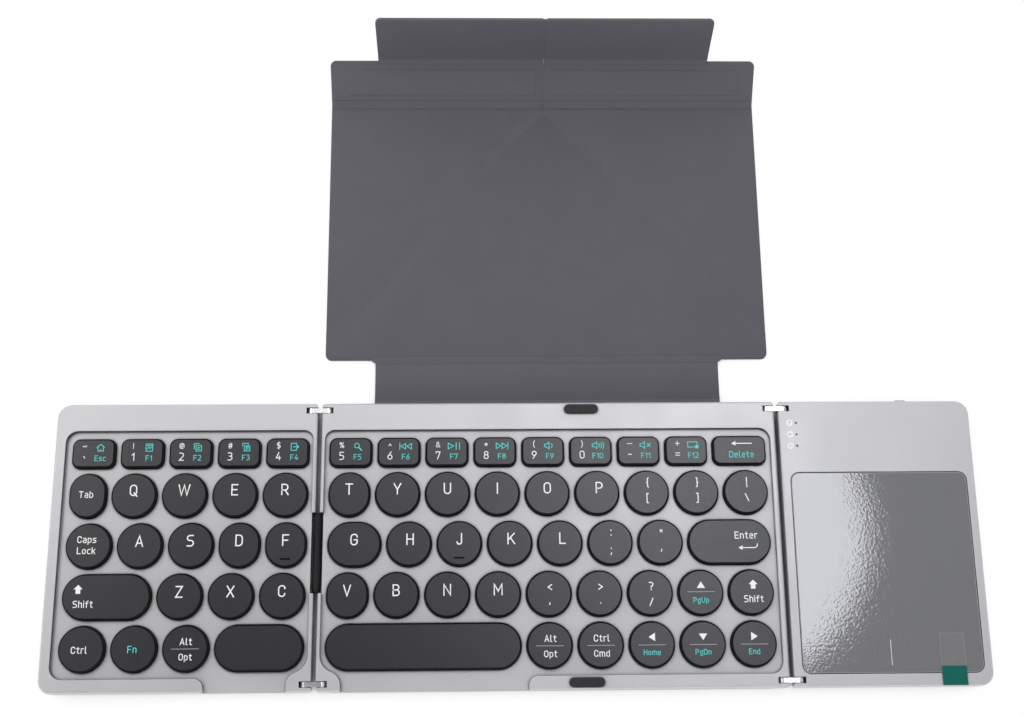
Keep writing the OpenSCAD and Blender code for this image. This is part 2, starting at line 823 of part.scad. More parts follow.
module pull_tab() {
    color("#0b6b5c")
        translate([right_x1 - tab_x - tab_w / 2, front_y + 0.3, top_z + film_t])
            cube([tab_w, tab_l, film_t]);
}

// Two snap discs under the front half of the touchpad
module click_switches() {
    mid = (pad_x0 + pad_x1) / 2;
    color("#c8b070")
        for (x = [mid - click_x, mid + click_x])
            translate([x, pad_y0 + click_y, recess_z]) cylinder(r = 2.2, h = 0.2);
}

module at_lights() {
    for (i = [0:2])
        translate([cavity_x0 + light_in, rear_y - light_y - i * light_pitch, 0]) children();
}

// Three light guides on one bar
module status_lights() {
    bar_t = 0.8;
    bar_w = 1.2;
    end = 1;
    color("#f4f6f8") {
        at_lights() translate([0, 0, cavity_z1 - cut]) cylinder(r = light_r, h = top_z - cavity_z1 + cut);
        translate([cavity_x0 + light_in - bar_w / 2, rear_y - light_y - 2 * light_pitch - end,
                cavity_z1 - bar_t])
            cube([bar_w, 2 * (light_pitch + end), bar_t]);
    }
}

module main_board() {
    x0 = cavity_x0 + 0.4;
    w = right_x1 - port_d - 0.1 - x0;
    y1 = cavity_y1 - 0.4;
    chips = [[14, 3, 8, 8], [27, 4, 5, 5], [36, 8, 4, 3]];
    chip_t = 0.9;
    color("#0f4d2f") {
        translate([x0, y1 - bay_w, frame_z]) cube([w, bay_w, main_board_t]);
        for (c = chips)
            translate([x0 + c[0], y1 - c[1] - c[3], frame_z + main_board_t - 0.1])
                cube([c[2], c[3], chip_t + 0.1]);
    }
}

module battery() {
    r = 1;
    x0 = (cavity_x0 + cavity_x1 - battery_w) / 2;
    color("#9fa6b2")
        translate([x0, cavity_y1 - bay_w - 1.5 - battery_l, frame_z])
            linear_extrude(battery_t) outline(battery_w, battery_l, r, r);
}

// Folded metal shell with a tongue in it
module charging_socket() {
    wall = 0.35;
    color("#c3c6ca")
        translate([right_x1 - port_d, rear_y - port_y, port_z + port_h / 2])
            rotate([90, 0, 90]) {
                linear_extrude(port_d - 0.1)
                    difference() {
                        capsule(port_w, port_h);
                        capsule(port_w - 2 * wall, port_h - 2 * wall);
                    }
                linear_extrude(1) capsule(port_w - wall, port_h - wall);
                translate([-0.36 * port_w, -0.35, 0.5]) cube([0.72 * port_w, 0.7, port_d - 1.5]);
            }
}

module switch_slot() {
    w = switch_w + switch_travel + 0.4;
    translate([right_x1 - switch_x - switch_w / 2 - 0.2, rear_y - 4, switch_z - 0.1])
        cube([w, 4 + cut, switch_h + 0.2]);
}

module power_switch() {
    ribs = 3;
    color("#98999c")
        difference() {
            translate([right_x1 - switch_x - switch_w / 2, rear_y - 3.6, switch_z])
                cube([switch_w, 3.6 + switch_proud, switch_h]);
            for (i = [1:ribs])
                translate([right_x1 - switch_x - switch_w / 2 + i * switch_w / (ribs + 1) - 0.15,
                        rear_y + switch_proud - 0.25, switch_z - cut])
                    cube([0.3, 0.5, switch_h + 2 * cut]);
        }
}

// Cover

module leather(z = 0) {
    color("#5c5a5f") translate([0, 0, z]) linear_extrude(leather_t) children();
}

// The base is glued under the middle panel, and ends in a tab at the neck's crease
module cover_base() {
    leather() {
        translate([middle_x0, front_y]) outline(middle_w, panel_d, corner_r, corner_r);
        translate([-neck_w / 2, 0]) square([neck_w, neck_y - crease / 2]);
    }
}

module cover_neck() {
    leather()
        translate([-neck_w / 2, neck_y + crease / 2]) square([neck_w, neck_l - crease]);
}

// The lid, before the slanted creases divide it
module lid_outline() {
    y0 = lid_y + crease / 2;
    translate([-cover_w / 2, y0 + cover_r]) square([cover_w, lid_l - crease - cover_r]);
    translate([-cover_w / 2 + cover_r, y0]) square([cover_w - 2 * cover_r, cover_r + cut]);
    for (x = [-cover_w / 2 + cover_r, cover_w / 2 - cover_r])
        translate([x, y0 + cover_r]) circle(cover_r);
}

// Everything outside the left slanted crease, and past it by more
module beyond_slant(past) {
    translate([0, strip_y]) rotate(180 + slant_a) translate([-far / 2, past - far]) square([far, far]);
}

module cover_centre() {
    leather()
        difference() {
            lid_outline();
            beyond_slant(crease / 2);
            mirror([1, 0]) beyond_slant(crease / 2);
        }
}

module wing() {
    leather()
        intersection() {
            lid_outline();
            beyond_slant(-crease / 2);
            translate([-far - middle_crease / 2, 0]) square([far, far]);
        }
}

module cover_left_wing() wing();
module cover_right_wing() mirror([1, 0, 0]) wing();

// Places its children past the strip's crease, at the strip's angle
module at_strip() {
    translate([0, strip_y, leather_t]) rotate([strip_a, 0, 0]) translate([0, 0, -leather_t]) children();
}

module at_flap() {
    at_strip()
        translate([0, strip_l, leather_t]) rotate([flap_a, 0, 0]) translate([0, 0, -leather_t]) children();
}

// Half of a strip that is w wide and l long, left of the middle crease, with one outer corner round
module half_sheet(w, l) {
    x0 = -w / 2;
    x1 = -middle_crease / 2;
    translate([x0, crease / 2]) square([x1 - x0, l - crease / 2 - cover_r]);
    translate([x0 + cover_r, crease / 2]) square([x1 - x0 - cover_r, l - crease / 2]);
    translate([x0 + cover_r, l - cover_r]) circle(cover_r);
}

// Block that fills the magnet's seat and stands out of it, larger all round by grow
module magnet_block(grow) {
    x1 = -middle_crease / 2 - 2;
    y = (strip_l - magnet_w) / 2;
    translate([x1 - magnet_l - grow, y - grow, leather_t - magnet_seat])
        cube([magnet_l + 2 * grow, magnet_w + 2 * grow, magnet_t + grow]);
}

module strip() {
    at_strip()
        difference() {
            leather() half_sheet(cover_w, strip_l - crease / 2);
            magnet_block(seat_clear);
        }
}

module magnet_plate() {
    color("#66646a") at_strip() magnet_block(0);
}

module flap() {
    at_flap() leather() half_sheet(neck_w, flap_l);
}

module cover_left_strip() strip();
module cover_right_strip() mirror([1, 0, 0]) strip();
module cover_left_flap() flap();
module cover_right_flap() mirror([1, 0, 0]) flap();
module left_magnet_plate() magnet_plate();
module right_magnet_plate() mirror([1, 0, 0]) magnet_plate();

cover_base();
middle_frame();
middle_bottom();
middle_board();
middle_domes();
middle_pins();
end_pads();
left_frame();
left_bottom();
left_board();
left_domes();
left_pins();
left_feet();
left_screws();
left_links();
cable_conduit();
right_frame();
right_bottom();
right_pins();
right_feet();
right_screws();
main_board();
battery();
charging_socket();
status_lights();
click_switches();
pull_tab();
right_links();
touchpad();
touchpad_film();
power_switch();
cover_neck();
cover_centre();
cover_left_wing();
cover_right_wing();
cover_left_strip();
cover_right_strip();
cover_left_flap();
cover_right_flap();
left_magnet_plate();
right_magnet_plate();
esc_key();
tab_key();
caps_lock_key();
left_shift_key();
left_modifier_keys();
left_space_key();
left_number_keys();
left_upper_keys();
left_lower_keys();
delete_key();
number_keys();
upper_keys();
home_keys();
enter_key();
lower_keys();
right_shift_key();
space_key();
modifier_keys();
arrow_keys();
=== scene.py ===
import math
import bpy
import bmesh
from mathutils import Matrix, Vector


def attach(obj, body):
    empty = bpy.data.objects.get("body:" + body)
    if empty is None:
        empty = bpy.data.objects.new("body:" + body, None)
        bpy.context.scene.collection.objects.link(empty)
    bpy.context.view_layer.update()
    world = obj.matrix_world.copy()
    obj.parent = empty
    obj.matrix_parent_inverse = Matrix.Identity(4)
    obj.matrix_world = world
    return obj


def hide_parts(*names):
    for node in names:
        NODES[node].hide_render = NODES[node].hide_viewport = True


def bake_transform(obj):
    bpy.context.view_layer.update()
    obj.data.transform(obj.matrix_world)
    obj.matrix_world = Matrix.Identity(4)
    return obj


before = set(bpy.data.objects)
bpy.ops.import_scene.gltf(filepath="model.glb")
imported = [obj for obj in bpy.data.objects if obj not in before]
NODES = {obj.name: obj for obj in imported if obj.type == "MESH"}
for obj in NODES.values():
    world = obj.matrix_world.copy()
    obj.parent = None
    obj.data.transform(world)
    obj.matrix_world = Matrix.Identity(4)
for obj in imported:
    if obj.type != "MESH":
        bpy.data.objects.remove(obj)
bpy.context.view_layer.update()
MM = 0.001

# Sizes shared with the solids, in millimetres
LEATHER = 1.2
PANEL_TOP = 6.8
KEY_TOP = 7.4
NECK_Y = 47.85
LID_Y = 63.05
STRIP_Y = 158.25
STRIP_L = 15.869
STRIP_A = 37.0
FLAP_A = 38.0
FLAP_L = 20.0
COVER_X = 75.5
NECK_X = 58.5
SLANT = Vector((-75.5, 69.05, 0.0))
SLANT_DIR = (Vector((0.0, STRIP_Y, 0.0)) - SLANT).normalized()
# Across a slanted fold, towards the wing
SLANT_LEFT = Vector((-SLANT_DIR.y, SLANT_DIR.x, 0.0))
# The cover's base: half its depth, radius of its corners
BASE_Y = 46.85
BASE_R = 4.5
# Rounded edge of the cover's parts
EDGE = 0.22
# How far the lid fold's skin widens at the lid
FLARE = 1.3
# Skins of the two halves end at these X, at the crease and beside it
CREASE_X = -0.02
SEAM_X = -0.75
# A fold: half its width, how far its skin laps over the plates, middle to pressed line
FOLD_W = 1.8
LAP = 0.35
PRESSED = 1.25
# A key well's walls, painted darker as shade: lowest and highest, and how far from the middle they may
# lie in Y
WALL_Z = (5.35, 6.79)
WALL_Y = 45.5
# Pull tab: its printed part lies in front of this Y, its clear part behind
TAB_PRINT_Y = -40.5
# Status lights: their signs' X, the first one's Y, and their pitch
SIGN_X = 80.5
SIGN_Y = 39.45
SIGN_PITCH = 3.9
# Camera, solved from the photo: lens, turns in degrees and place in metres
LENS = 49.37
CAMERA_TURN = (-15.3922, 1.4132, 0.2134)
CAMERA_PLACE = (-0.02382, -0.06356, 0.46356)


# Camera, light, floor

def make_camera():
    cam = bpy.data.cameras.new("camera")
    cam.lens = LENS
    cam.sensor_width = 36
    cam.sensor_fit = "HORIZONTAL"
    cam.clip_start = 0.01
    ob = bpy.data.objects.new("camera", cam)
    bpy.context.collection.objects.link(ob)
    rx, ry, rz = (math.radians(a) for a in CAMERA_TURN)
    turn = Matrix.Rotation(rz, 3, "Z") @ Matrix.Rotation(ry, 3, "Y") @ Matrix.Rotation(rx, 3, "X")
    place = Matrix.Translation(CAMERA_PLACE)
    ob.matrix_world = place @ turn.transposed().to_4x4()
    bpy.context.scene.camera = ob


def area(name, place, target, size, power, colour=(1, 1, 1), shape="RECTANGLE"):
    data = bpy.data.lights.new(name, "AREA")
    data.shape = shape
    data.size, data.size_y = size
    data.energy = power
    data.color = colour
    ob = bpy.data.objects.new(name, data)
    bpy.context.collection.objects.link(ob)
    ob.location = place
    ob.rotation_euler = (Vector(target) - Vector(place)).to_track_quat("-Z", "Y").to_euler()


def set_socket(nt, socket, value):
    """Links a socket, or sets it to a constant."""
    if hasattr(value, "is_linked"):
        nt.links.new(value, socket)
    else:
        socket.default_value = value


def math_node(nt, op, a, b):
    n = nt.nodes.new("ShaderNodeMath")
    n.operation = op
    set_socket(nt, n.inputs[0], a)
    set_socket(nt, n.inputs[1], b)
    return n.outputs[0]


def map_range(nt, value, lo, hi, out_lo, out_hi):
    """Maps lo..hi to out_lo..out_hi, and clamps beyond."""
    n = nt.nodes.new("ShaderNodeMapRange")
    n.clamp = True
    nt.links.new(value, n.inputs["Value"])
    for key, x in (("From Min", lo), ("From Max", hi), ("To Min", out_lo), ("To Max", out_hi)):
        n.inputs[key].default_value = x
    return n.outputs["Result"]


def end_tree(nt, output, share, a, b):
    """Ends a node tree with shader a turned into shader b by share."""
    out = nt.nodes.new(output)
    mix = nt.nodes.new("ShaderNodeMixShader")
    nt.links.new(share, mix.inputs[0])
    nt.links.new(a.outputs[0], mix.inputs[1])
    nt.links.new(b.outputs[0], mix.inputs[2])
    nt.links.new(mix.outputs[0], out.inputs[0])


def seen_directly(nt):
    """1 for what the camera sees, also through glass and in metal."""
    rays = nt.nodes.new("ShaderNodeLightPath").outputs
    direct = math_node(nt, "MAXIMUM", rays["Is Camera Ray"], rays["Is Glossy Ray"])
    return math_node(nt, "MAXIMUM", direct, rays["Is Transmission Ray"])


def make_world():
    """White for the camera; for all else a light that is strong low down and faint overhead."""
    world = bpy.data.worlds.new("studio")
    bpy.context.scene.world = world
    world.use_nodes = True
    nt = world.node_tree
    nt.nodes.clear()
    fill = nt.nodes.new("ShaderNodeBackground")
    fill.inputs[0].default_value = (0.97, 0.98, 1.0, 1)
    coord = nt.nodes.new("ShaderNodeTexCoord")
    split = nt.nodes.new("ShaderNodeSeparateXYZ")
    nt.links.new(coord.outputs["Generated"], split.inputs[0])
    nt.links.new(map_range(nt, split.outputs["Z"], 0.0, 0.9, 1.9, 0.02), fill.inputs[1])
    back = nt.nodes.new("ShaderNodeBackground")
    back.inputs[0].default_value = (1, 1, 1, 1)
    back.inputs[1].default_value = 1.0
    rays = nt.nodes.new("ShaderNodeLightPath").outputs
    end_tree(nt, "ShaderNodeOutputWorld", rays["Is Camera Ray"], fill, back)


def make_floor():
    """Glowing white floor that takes soft shadows; painted shade from ambient occlusion darkens its
    colour and dims its glow in narrow gaps and near the object.
    """
    me = bpy.data.meshes.new("floor")
    s = 3.0
    z = -0.0003
    me.from_pydata([(-s, -s, z), (s, -s, z), (s, s, z), (-s, s, z)], [], [(0, 1, 2, 3)])
    ob = bpy.data.objects.new("floor", me)
    bpy.context.collection.objects.link(ob)
    mat = bpy.data.materials.new("floor_white")
    mat.use_nodes = True
    nt = mat.node_tree
    nt.nodes.clear()
    # Painted shade: ambient occlusion darkens the floor's colour and cuts its glow in narrow gaps and
    # near the object
    near = nt.nodes.new("ShaderNodeAmbientOcclusion")
    near.samples = 8
    near.inputs["Distance"].default_value = 0.012
    openness = near.outputs["AO"]
    paint = nt.nodes.new("ShaderNodeBsdfDiffuse")
    nt.links.new(map_range(nt, openness, 0.1, 0.4, 0.03, 0.86), paint.inputs[0])
    glow = nt.nodes.new("ShaderNodeEmission")
    glow.inputs[0].default_value = (1, 1, 1, 1)
    glow.inputs[1].default_value = 1.03
    open_air = map_range(nt, openness, 0.15, 0.62, 0.0, 0.92)
    share = math_node(nt, "MULTIPLY", seen_directly(nt), open_air)
    end_tree(nt, "ShaderNodeOutputMaterial", share, paint, glow)
    me.materials.append(mat)


# Materials

class Mat:
    """A Principled material with noise for colour, roughness and bump, in object coordinates."""

    def __init__(self, name, base, rough, metal=0.0, specular=0.5):
        self.m = bpy.data.materials.new(name)
        self.m.use_nodes = True
        self.nt = self.m.node_tree
        self.b = self.nt.nodes["Principled BSDF"]
        self.b.inputs["Base Color"].default_value = (*base, 1)
        self.b.inputs["Roughness"].default_value = rough
        self.b.inputs["Metallic"].default_value = metal
        self.b.inputs["Specular IOR Level"].default_value = specular
        self.base = base
        self.rough = rough
        self.coord = self.nt.nodes.new("ShaderNodeTexCoord").outputs["Object"]
        self.normal = None

    def node(self, kind, **sockets):
        n = self.nt.nodes.new(kind)
        for key, value in sockets.items():
            set_socket(self.nt, n.inputs[key], value)
        return n

    def math(self, op, a, b):
        return math_node(self.nt, op, a, b)

    def noise(self, scale, detail=3.0):
        n = self.node("ShaderNodeTexNoise", Vector=self.coord, Scale=scale, Detail=detail)
        return n.outputs["Fac"]

    def ramp(self, value, lo, hi, out_lo, out_hi):
        return map_range(self.nt, value, lo, hi, out_lo, out_hi)

    def mix(self, fac, a, b):
        n = self.nt.nodes.new("ShaderNodeMix")
        n.data_type = "RGBA"
        self.nt.links.new(fac, n.inputs["Factor"])
        for key, value in (("A", a), ("B", b)):
            socket = [s for s in n.inputs if s.name == key and s.type == "RGBA"][0]
            if hasattr(value, "is_linked"):
                self.nt.links.new(value, socket)
            else:
                socket.default_value = (*value, 1)
        return [s for s in n.outputs if s.type == "RGBA"][0]

    def colour(self, fac, low=0.9, high=1.1):
        a = [c * low for c in self.base]
        b = [c * high for c in self.base]
        out = self.mix(fac, a, b)
        self.nt.links.new(out, self.b.inputs["Base Color"])
        return out

    def rougher(self, fac, spread):
        out = self.ramp(fac, 0.3, 0.7, self.rough - spread, self.rough + spread)
        self.nt.links.new(out, self.b.inputs["Roughness"])

    def bump(self, height, distance, strength=1.0):
        n = self.nt.nodes.new("ShaderNodeBump")
        n.inputs["Strength"].default_value = strength
        n.inputs["Distance"].default_value = distance
        self.nt.links.new(height, n.inputs["Height"])
        if self.normal is not None:
            self.nt.links.new(self.normal, n.inputs["Normal"])
        self.normal = n.outputs["Normal"]
        self.nt.links.new(self.normal, self.b.inputs["Normal"])

    def round_edges(self, radius):
        n = self.nt.nodes.new("ShaderNodeBevel")
        n.samples = 4
        n.inputs["Radius"].default_value = radius
        self.normal = n.outputs["Normal"]
        self.nt.links.new(self.normal, self.b.inputs["Normal"])

    def painted_crevice_shade(self, colour, reach, depth):
        """Painted shade: darkens the colour towards depth times the base in narrow gaps and along
        inner corners, found by ambient occlusion within reach.
        """
        n = self.nt.nodes.new("ShaderNodeAmbientOcclusion")
        n.samples = 4
        n.inputs["Distance"].default_value = reach
        open_air = self.ramp(n.outputs["AO"], 0.42, 0.85, 0.0, 1.0)
        self.nt.links.new(self.mix(open_air, [c * depth for c in self.base], colour),
                          self.b.inputs["Base Color"])

    def along(self, axis):
        """Place along one axis, in metres."""
        split = self.nt.nodes.new("ShaderNodeSeparateXYZ")
        self.nt.links.new(self.coord, split.inputs[0])
        return split.outputs[axis]

    def plain(self, scale=900.0, spread=0.06, distance=2e-5, tint=0.06):
        fine = self.noise(scale)
        self.colour(fine, 1 - tint, 1 + tint)
        self.rougher(self.noise(scale * 0.21), spread)
        self.bump(fine, distance)
        return self.m


def satin_frame():
    m = Mat("satin_silver", (0.56, 0.555, 0.57), 0.44, metal=0.45)
    m.round_edges(0.0004)
    # Painted shade: the frame's colour falls to 6% of its base in narrow gaps and inner corners within
    # 1.1 mm
    m.painted_crevice_shade(m.colour(m.noise(5200, 2), 0.93, 1.06), 0.0011, 0.06)
    m.rougher(m.noise(60, 2), 0.04)
    m.bump(m.noise(3600, 2), 6e-6)
    return m.m


def leather(name, base, grain=1.0):
    m = Mat(name, base, 0.6, specular=0.35)
    m.b.inputs["Sheen Weight"].default_value = 0.12
    m.b.inputs["Sheen Roughness"].default_value = 0.5
    cells = m.node("ShaderNodeTexVoronoi", Vector=m.coord, Scale=1500.0)
    cells.feature = "DISTANCE_TO_EDGE"
    pebble = m.ramp(cells.outputs["Distance"], 0.0, 0.35, 0.0, 1.0)
    fine = m.noise(3800, 3)
    m.colour(m.math("ADD", m.math("MULTIPLY", m.noise(45, 3), 0.7), m.math("MULTIPLY", pebble, 0.3)),
             0.92, 1.07)
    m.rougher(m.noise(120, 3), 0.06)
    m.bump(pebble, 1.2e-5 * grain)
    m.bump(fine, 8e-6 * grain)
    m.bump(m.noise(28, 2), 1.5e-4 * grain, 0.35)
    return m.m


def key_cap():
    m = Mat("key_plastic", (0.015, 0.0147, 0.018), 0.33, specular=0.75)
    m.colour(m.noise(2400, 2), 0.93, 1.07)
    m.rougher(m.noise(2100, 2), 0.04)
    m.bump(m.noise(3000, 2), 5e-6)
    return m.m


# Painted shade: a dark copy of the satin frame for the key wells' steep walls, which look dark
def shaded_well_wall():
    m = Mat("shaded_well_wall", (0.12, 0.12, 0.125), 0.5, metal=0.4)
    return m.plain(5200, 0.04, 6e-6, 0.06)


# Painted shade: a darker, duller copy of the key plastic for the keys' sides, which stand in shade
def key_side():
    m = Mat("key_side", (0.004, 0.004, 0.0045), 0.55, specular=0.12)
    return m.plain(2100, 0.05, 5e-6, 0.1)


def film():
    m = Mat("clear_film", (0.34, 0.34, 0.345), 0.04, specular=1.0)
    m.b.inputs["Alpha"].default_value = 0.6
    m.b.inputs["Coat Weight"].default_value = 1.0
    m.b.inputs["Coat IOR"].default_value = 2.2
    m.b.inputs["Coat Roughness"].default_value = 0.04
    m.rougher(m.noise(300, 2), 0.015)
    m.bump(m.noise(1150, 1), 1.5e-5)
    m.bump(m.noise(2600, 1), 2e-6)
    m.nt.links.new(m.normal, m.b.inputs["Coat Normal"])
    return m.m


def pull_tab():
    m = Mat("tab_print", (0.002, 0.115, 0.09), 0.35, specular=0.25)
    printed = m.math("LESS_THAN", m.along("Y"), TAB_PRINT_Y * MM)
    tint = m.colour(m.noise(700, 2), 0.9, 1.1)
    m.nt.links.new(m.mix(printed, (0.42, 0.43, 0.44), tint), m.b.inputs["Base Color"])
    m.nt.links.new(m.ramp(printed, 0, 1, 0.06, 1.0), m.b.inputs["Alpha"])
    m.rougher(m.noise(200, 2), 0.03)
    return m.m


def light_guide():
    m = Mat("light_guide", (0.02, 0.02, 0.022), 0.3)
    return m.plain(900, 0.04, 5e-6, 0.1)


def print_ink(name, base):
    m = Mat(name, base, 0.5)
    return m.plain(2500, 0.05, 3e-6, 0.04)


def make_materials():
    plastic = Mat("bottom_plastic", (0.20, 0.205, 0.21), 0.5)
    switch = Mat("switch_paint", (0.36, 0.36, 0.365), 0.4, metal=0.4)
    chrome = Mat("link_chrome", (0.93, 0.935, 0.94), 0.24, metal=0.75)
    steel = Mat("pin_steel", (0.6, 0.61, 0.62), 0.3, metal=1.0)
    conduit = Mat("conduit_black", (0.009, 0.009, 0.010), 0.62, specular=0.3)
    rubber = Mat("foot_rubber", (0.016, 0.016, 0.017), 0.6, specular=0.4)
    board = Mat("board_green", (0.02, 0.14, 0.06), 0.35)
    domes = Mat("dome_rubber", (0.5, 0.51, 0.52), 0.55)
    foil = Mat("battery_foil", (0.5, 0.52, 0.55), 0.45, metal=0.7)
    socket = Mat("socket_steel", (0.62, 0.63, 0.64), 0.28, metal=1.0)
    pad = Mat("pad_grey", (0.36, 0.36, 0.365), 0.45, metal=0.3)
    return {
        "satin": satin_frame(),
        "leather": leather("leather_grey", (0.098, 0.092, 0.108)),
        "fold": leather("leather_fold", (0.097, 0.091, 0.107), 0.8),
        "key": key_cap(),
        "key_side": key_side(),
        "wall": shaded_well_wall(),
        "film": film(),
        "tab": pull_tab(),
        "guide": light_guide(),
        "white": print_ink("ink_white", (0.88, 0.88, 0.87)),
        "teal": print_ink("ink_teal", (0.08, 0.64, 0.61)),
        "grey": print_ink("ink_grey", (0.36, 0.37, 0.38)),
        "plastic": plastic.plain(1400, 0.06, 1.2e-5),
        "switch": switch.plain(1400, 0.04, 6e-6),
        "chrome": chrome.plain(500, 0.03, 2e-6, 0.02),
        "steel": steel.plain(2500, 0.06, 3e-6),
        "conduit": conduit.plain(900, 0.05, 6e-6),
        "rubber": rubber.plain(2200, 0.05, 1.5e-5, 0.12),
        "board": board.plain(350, 0.08, 1e-5, 0.15),
        "domes": domes.plain(900, 0.05, 8e-6),
        "foil": foil.plain(260, 0.08, 3e-5),
        "socket": socket.plain(1500, 0.05, 3e-6, 0.03),
        "pad": pad.plain(4200, 0.03, 4e-6, 0.05),
    }


def paint(node, mat):
    slots = NODES[node].data.materials
    slots.clear()
    slots.append(mat)


def paint_solids(mats):
    plan = {
        "satin": ["middle_frame", "left_frame", "right_frame"],
        "plastic": ["middle_bottom", "left_bottom", "right_bottom"],
        "chrome": ["left_links", "right_links"],
        "steel": ["middle_pins", "left_pins", "right_pins", "left_screws", "right_screws",
                  "click_switches"],
        "conduit": ["cable_conduit"],
        "rubber": ["left_feet", "right_feet", "end_pads"],
        "board": ["middle_board", "left_board", "main_board"],
        "domes": ["middle_domes", "left_domes"],
        "foil": ["battery"],
        "socket": ["charging_socket"],
        "guide": ["status_lights"],
        "pad": ["touchpad"],
        "film": ["touchpad_film"],
        "tab": ["pull_tab"],
        "switch": ["power_switch"],
        "key": [n for n in NODES if n.endswith("_key") or n.endswith("_keys")],
    }
    for look, nodes in plan.items():
        for node in nodes:
            paint(node, mats[look])
    for node in plan["key"]:
        me = NODES[node].data
        me.materials.append(mats["key_side"])
        for face in me.polygons:
            # Key sides get the painted-shade copy of the plastic; homing bars above the key top take
            # the same dark colour
            bar = face.center.z > (KEY_TOP + 0.02) * MM
            face.material_index = 1 if bar or face.normal.z < 0.85 else 0
    for node in plan["satin"]:
        me = NODES[node].data
        me.materials.append(mats["wall"])
        x0, x1 = (f([v.co.x for v in me.vertices]) for f in (min, max))
        # Steep faces inside the key wells get the painted-shade copy of the frame
        for face in me.polygons:
            c = face.center
            inside = x0 + 3 * MM < c.x < x1 - 3 * MM and abs(c.y) < WALL_Y * MM
            in_well = WALL_Z[0] * MM < c.z < WALL_Z[1] * MM
            if inside and in_well and abs(face.normal.z) < 0.9:
                face.material_index = 1


# Mesh helpers

def finish_piece(name, bm, mat, body):
    """Mesh object with the leather's slot, riding a body if one is given."""
    bmesh.ops.recalc_face_normals(bm, faces=bm.faces[:])
    me = bpy.data.meshes.new(name)
    bm.to_mesh(me)
    bm.free()
    me.materials.append(mat)
    me.shade_smooth()
    me.set_sharp_from_angle(angle=math.radians(40))
    ob = bpy.data.objects.new(name, me)
    bpy.context.collection.objects.link(ob)
    if body:
        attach(ob, body)
    return ob


def rounded(points, closed=True):
    """Outline in which a point (x, y, r) is rounded by r, on either side."""
    out = []
    n = len(points)
    for i, p in enumerate(points):
        r = p[2] if len(p) > 2 else 0
        here = Vector(p[:2])
        if not r or not closed and i in (0, n - 1):
            out.append(here)
            continue
        before = (Vector(points[i - 1][:2]) - here).normalized()
        after = (Vector(points[(i + 1) % n][:2]) - here).normalized()
        half = before.angle(after) / 2
        reach = r / math.tan(half)
        centre = here + (before + after).normalized() * (r / math.sin(half))
        a = here + before * reach - centre
        b = here + after * reach - centre
        for k in range(7):
            v = a.lerp(b, k / 6)
            out.append(centre + v.normalized() * r)
    return out


def plate_mesh(points, z0, z1, edge):
    """Flat plate with its top and bottom edges rounded."""
    bm = bmesh.new()
    low = [bm.verts.new((p.x * MM, p.y * MM, z0 * MM)) for p in rounded(points)]
    bm.faces.new(low)
    grown = bmesh.ops.extrude_face_region(bm, geom=bm.faces[:])
    top = [v for v in grown["geom"] if isinstance(v, bmesh.types.BMVert)]
    bmesh.ops.translate(bm, verts=top, vec=(0, 0, (z1 - z0) * MM))
    rim = [e for e in bm.edges if abs(e.verts[0].co.z - e.verts[1].co.z) < 1e-7]
    bmesh.ops.bevel(bm, geom=rim, offset=edge * MM, segments=3, profile=0.5, affect="EDGES")
    return bm


def plate(name, points, mat, body, place=None, z0=0.0, z1=LEATHER, edge=EDGE, mirror=False):
    bm = plate_mesh(points, z0, z1, edge)
    if mirror:
        bmesh.ops.transform(bm, matrix=Matrix.Scale(-1, 4, (1, 0, 0)), verts=bm.verts)
    if place:
        bmesh.ops.transform(bm, matrix=place, verts=bm.verts)
    return finish_piece(name, bm, mat, body)


def grid_piece(name, point, n_along, n_across, mat, mirror=False):
    """Closed skin from point(along 0..1, across -1..1, side +1 top or -1 bottom)."""
    bm = bmesh.new()
    layers = []
    for side in (1, -1):
        rows = []
        for i in range(n_along + 1):
            row = []
            for j in range(n_across + 1):
                p = point(i / n_along, -1 + 2 * j / n_across, side) * MM
                if mirror:
                    p.x = -p.x
                row.append(bm.verts.new(p))
            rows.append(row)
        layers.append(rows)
    for rows in layers:
        for i in range(n_along):
            for j in range(n_across):
                bm.faces.new((rows[i][j], rows[i + 1][j], rows[i + 1][j + 1], rows[i][j + 1]))
    top, low = layers
    for i in range(n_along):
        for j in (0, n_across):
            bm.faces.new((top[i][j], top[i + 1][j], low[i + 1][j], low[i][j]))
    for j in range(n_across):
        for i in (0, n_along):
            bm.faces.new((top[i][j], top[i][j + 1], low[i][j + 1], low[i][j]))
    return finish_piece(name, bm, mat, None)


def smooth(t):
    t = min(1.0, max(0.0, t))
    return t * t * (3 - 2 * t)


# Cover

def fold_height(s, side, depth):
    """Height over a fold's cross-section: two pressed lines and a soft ridge between them."""
    line = math.exp(-((abs(s) - PRESSED) / 0.36) ** 2)
    dip = depth * (line + 0.3 * math.exp(-(s / 0.8) ** 2))
    edge = 0.03 * smooth((abs(s) - FOLD_W) / LAP)
    if side > 0:
        return LEATHER - 0.01 - dip - edge
    return 0.01 + 0.6 * dip + edge


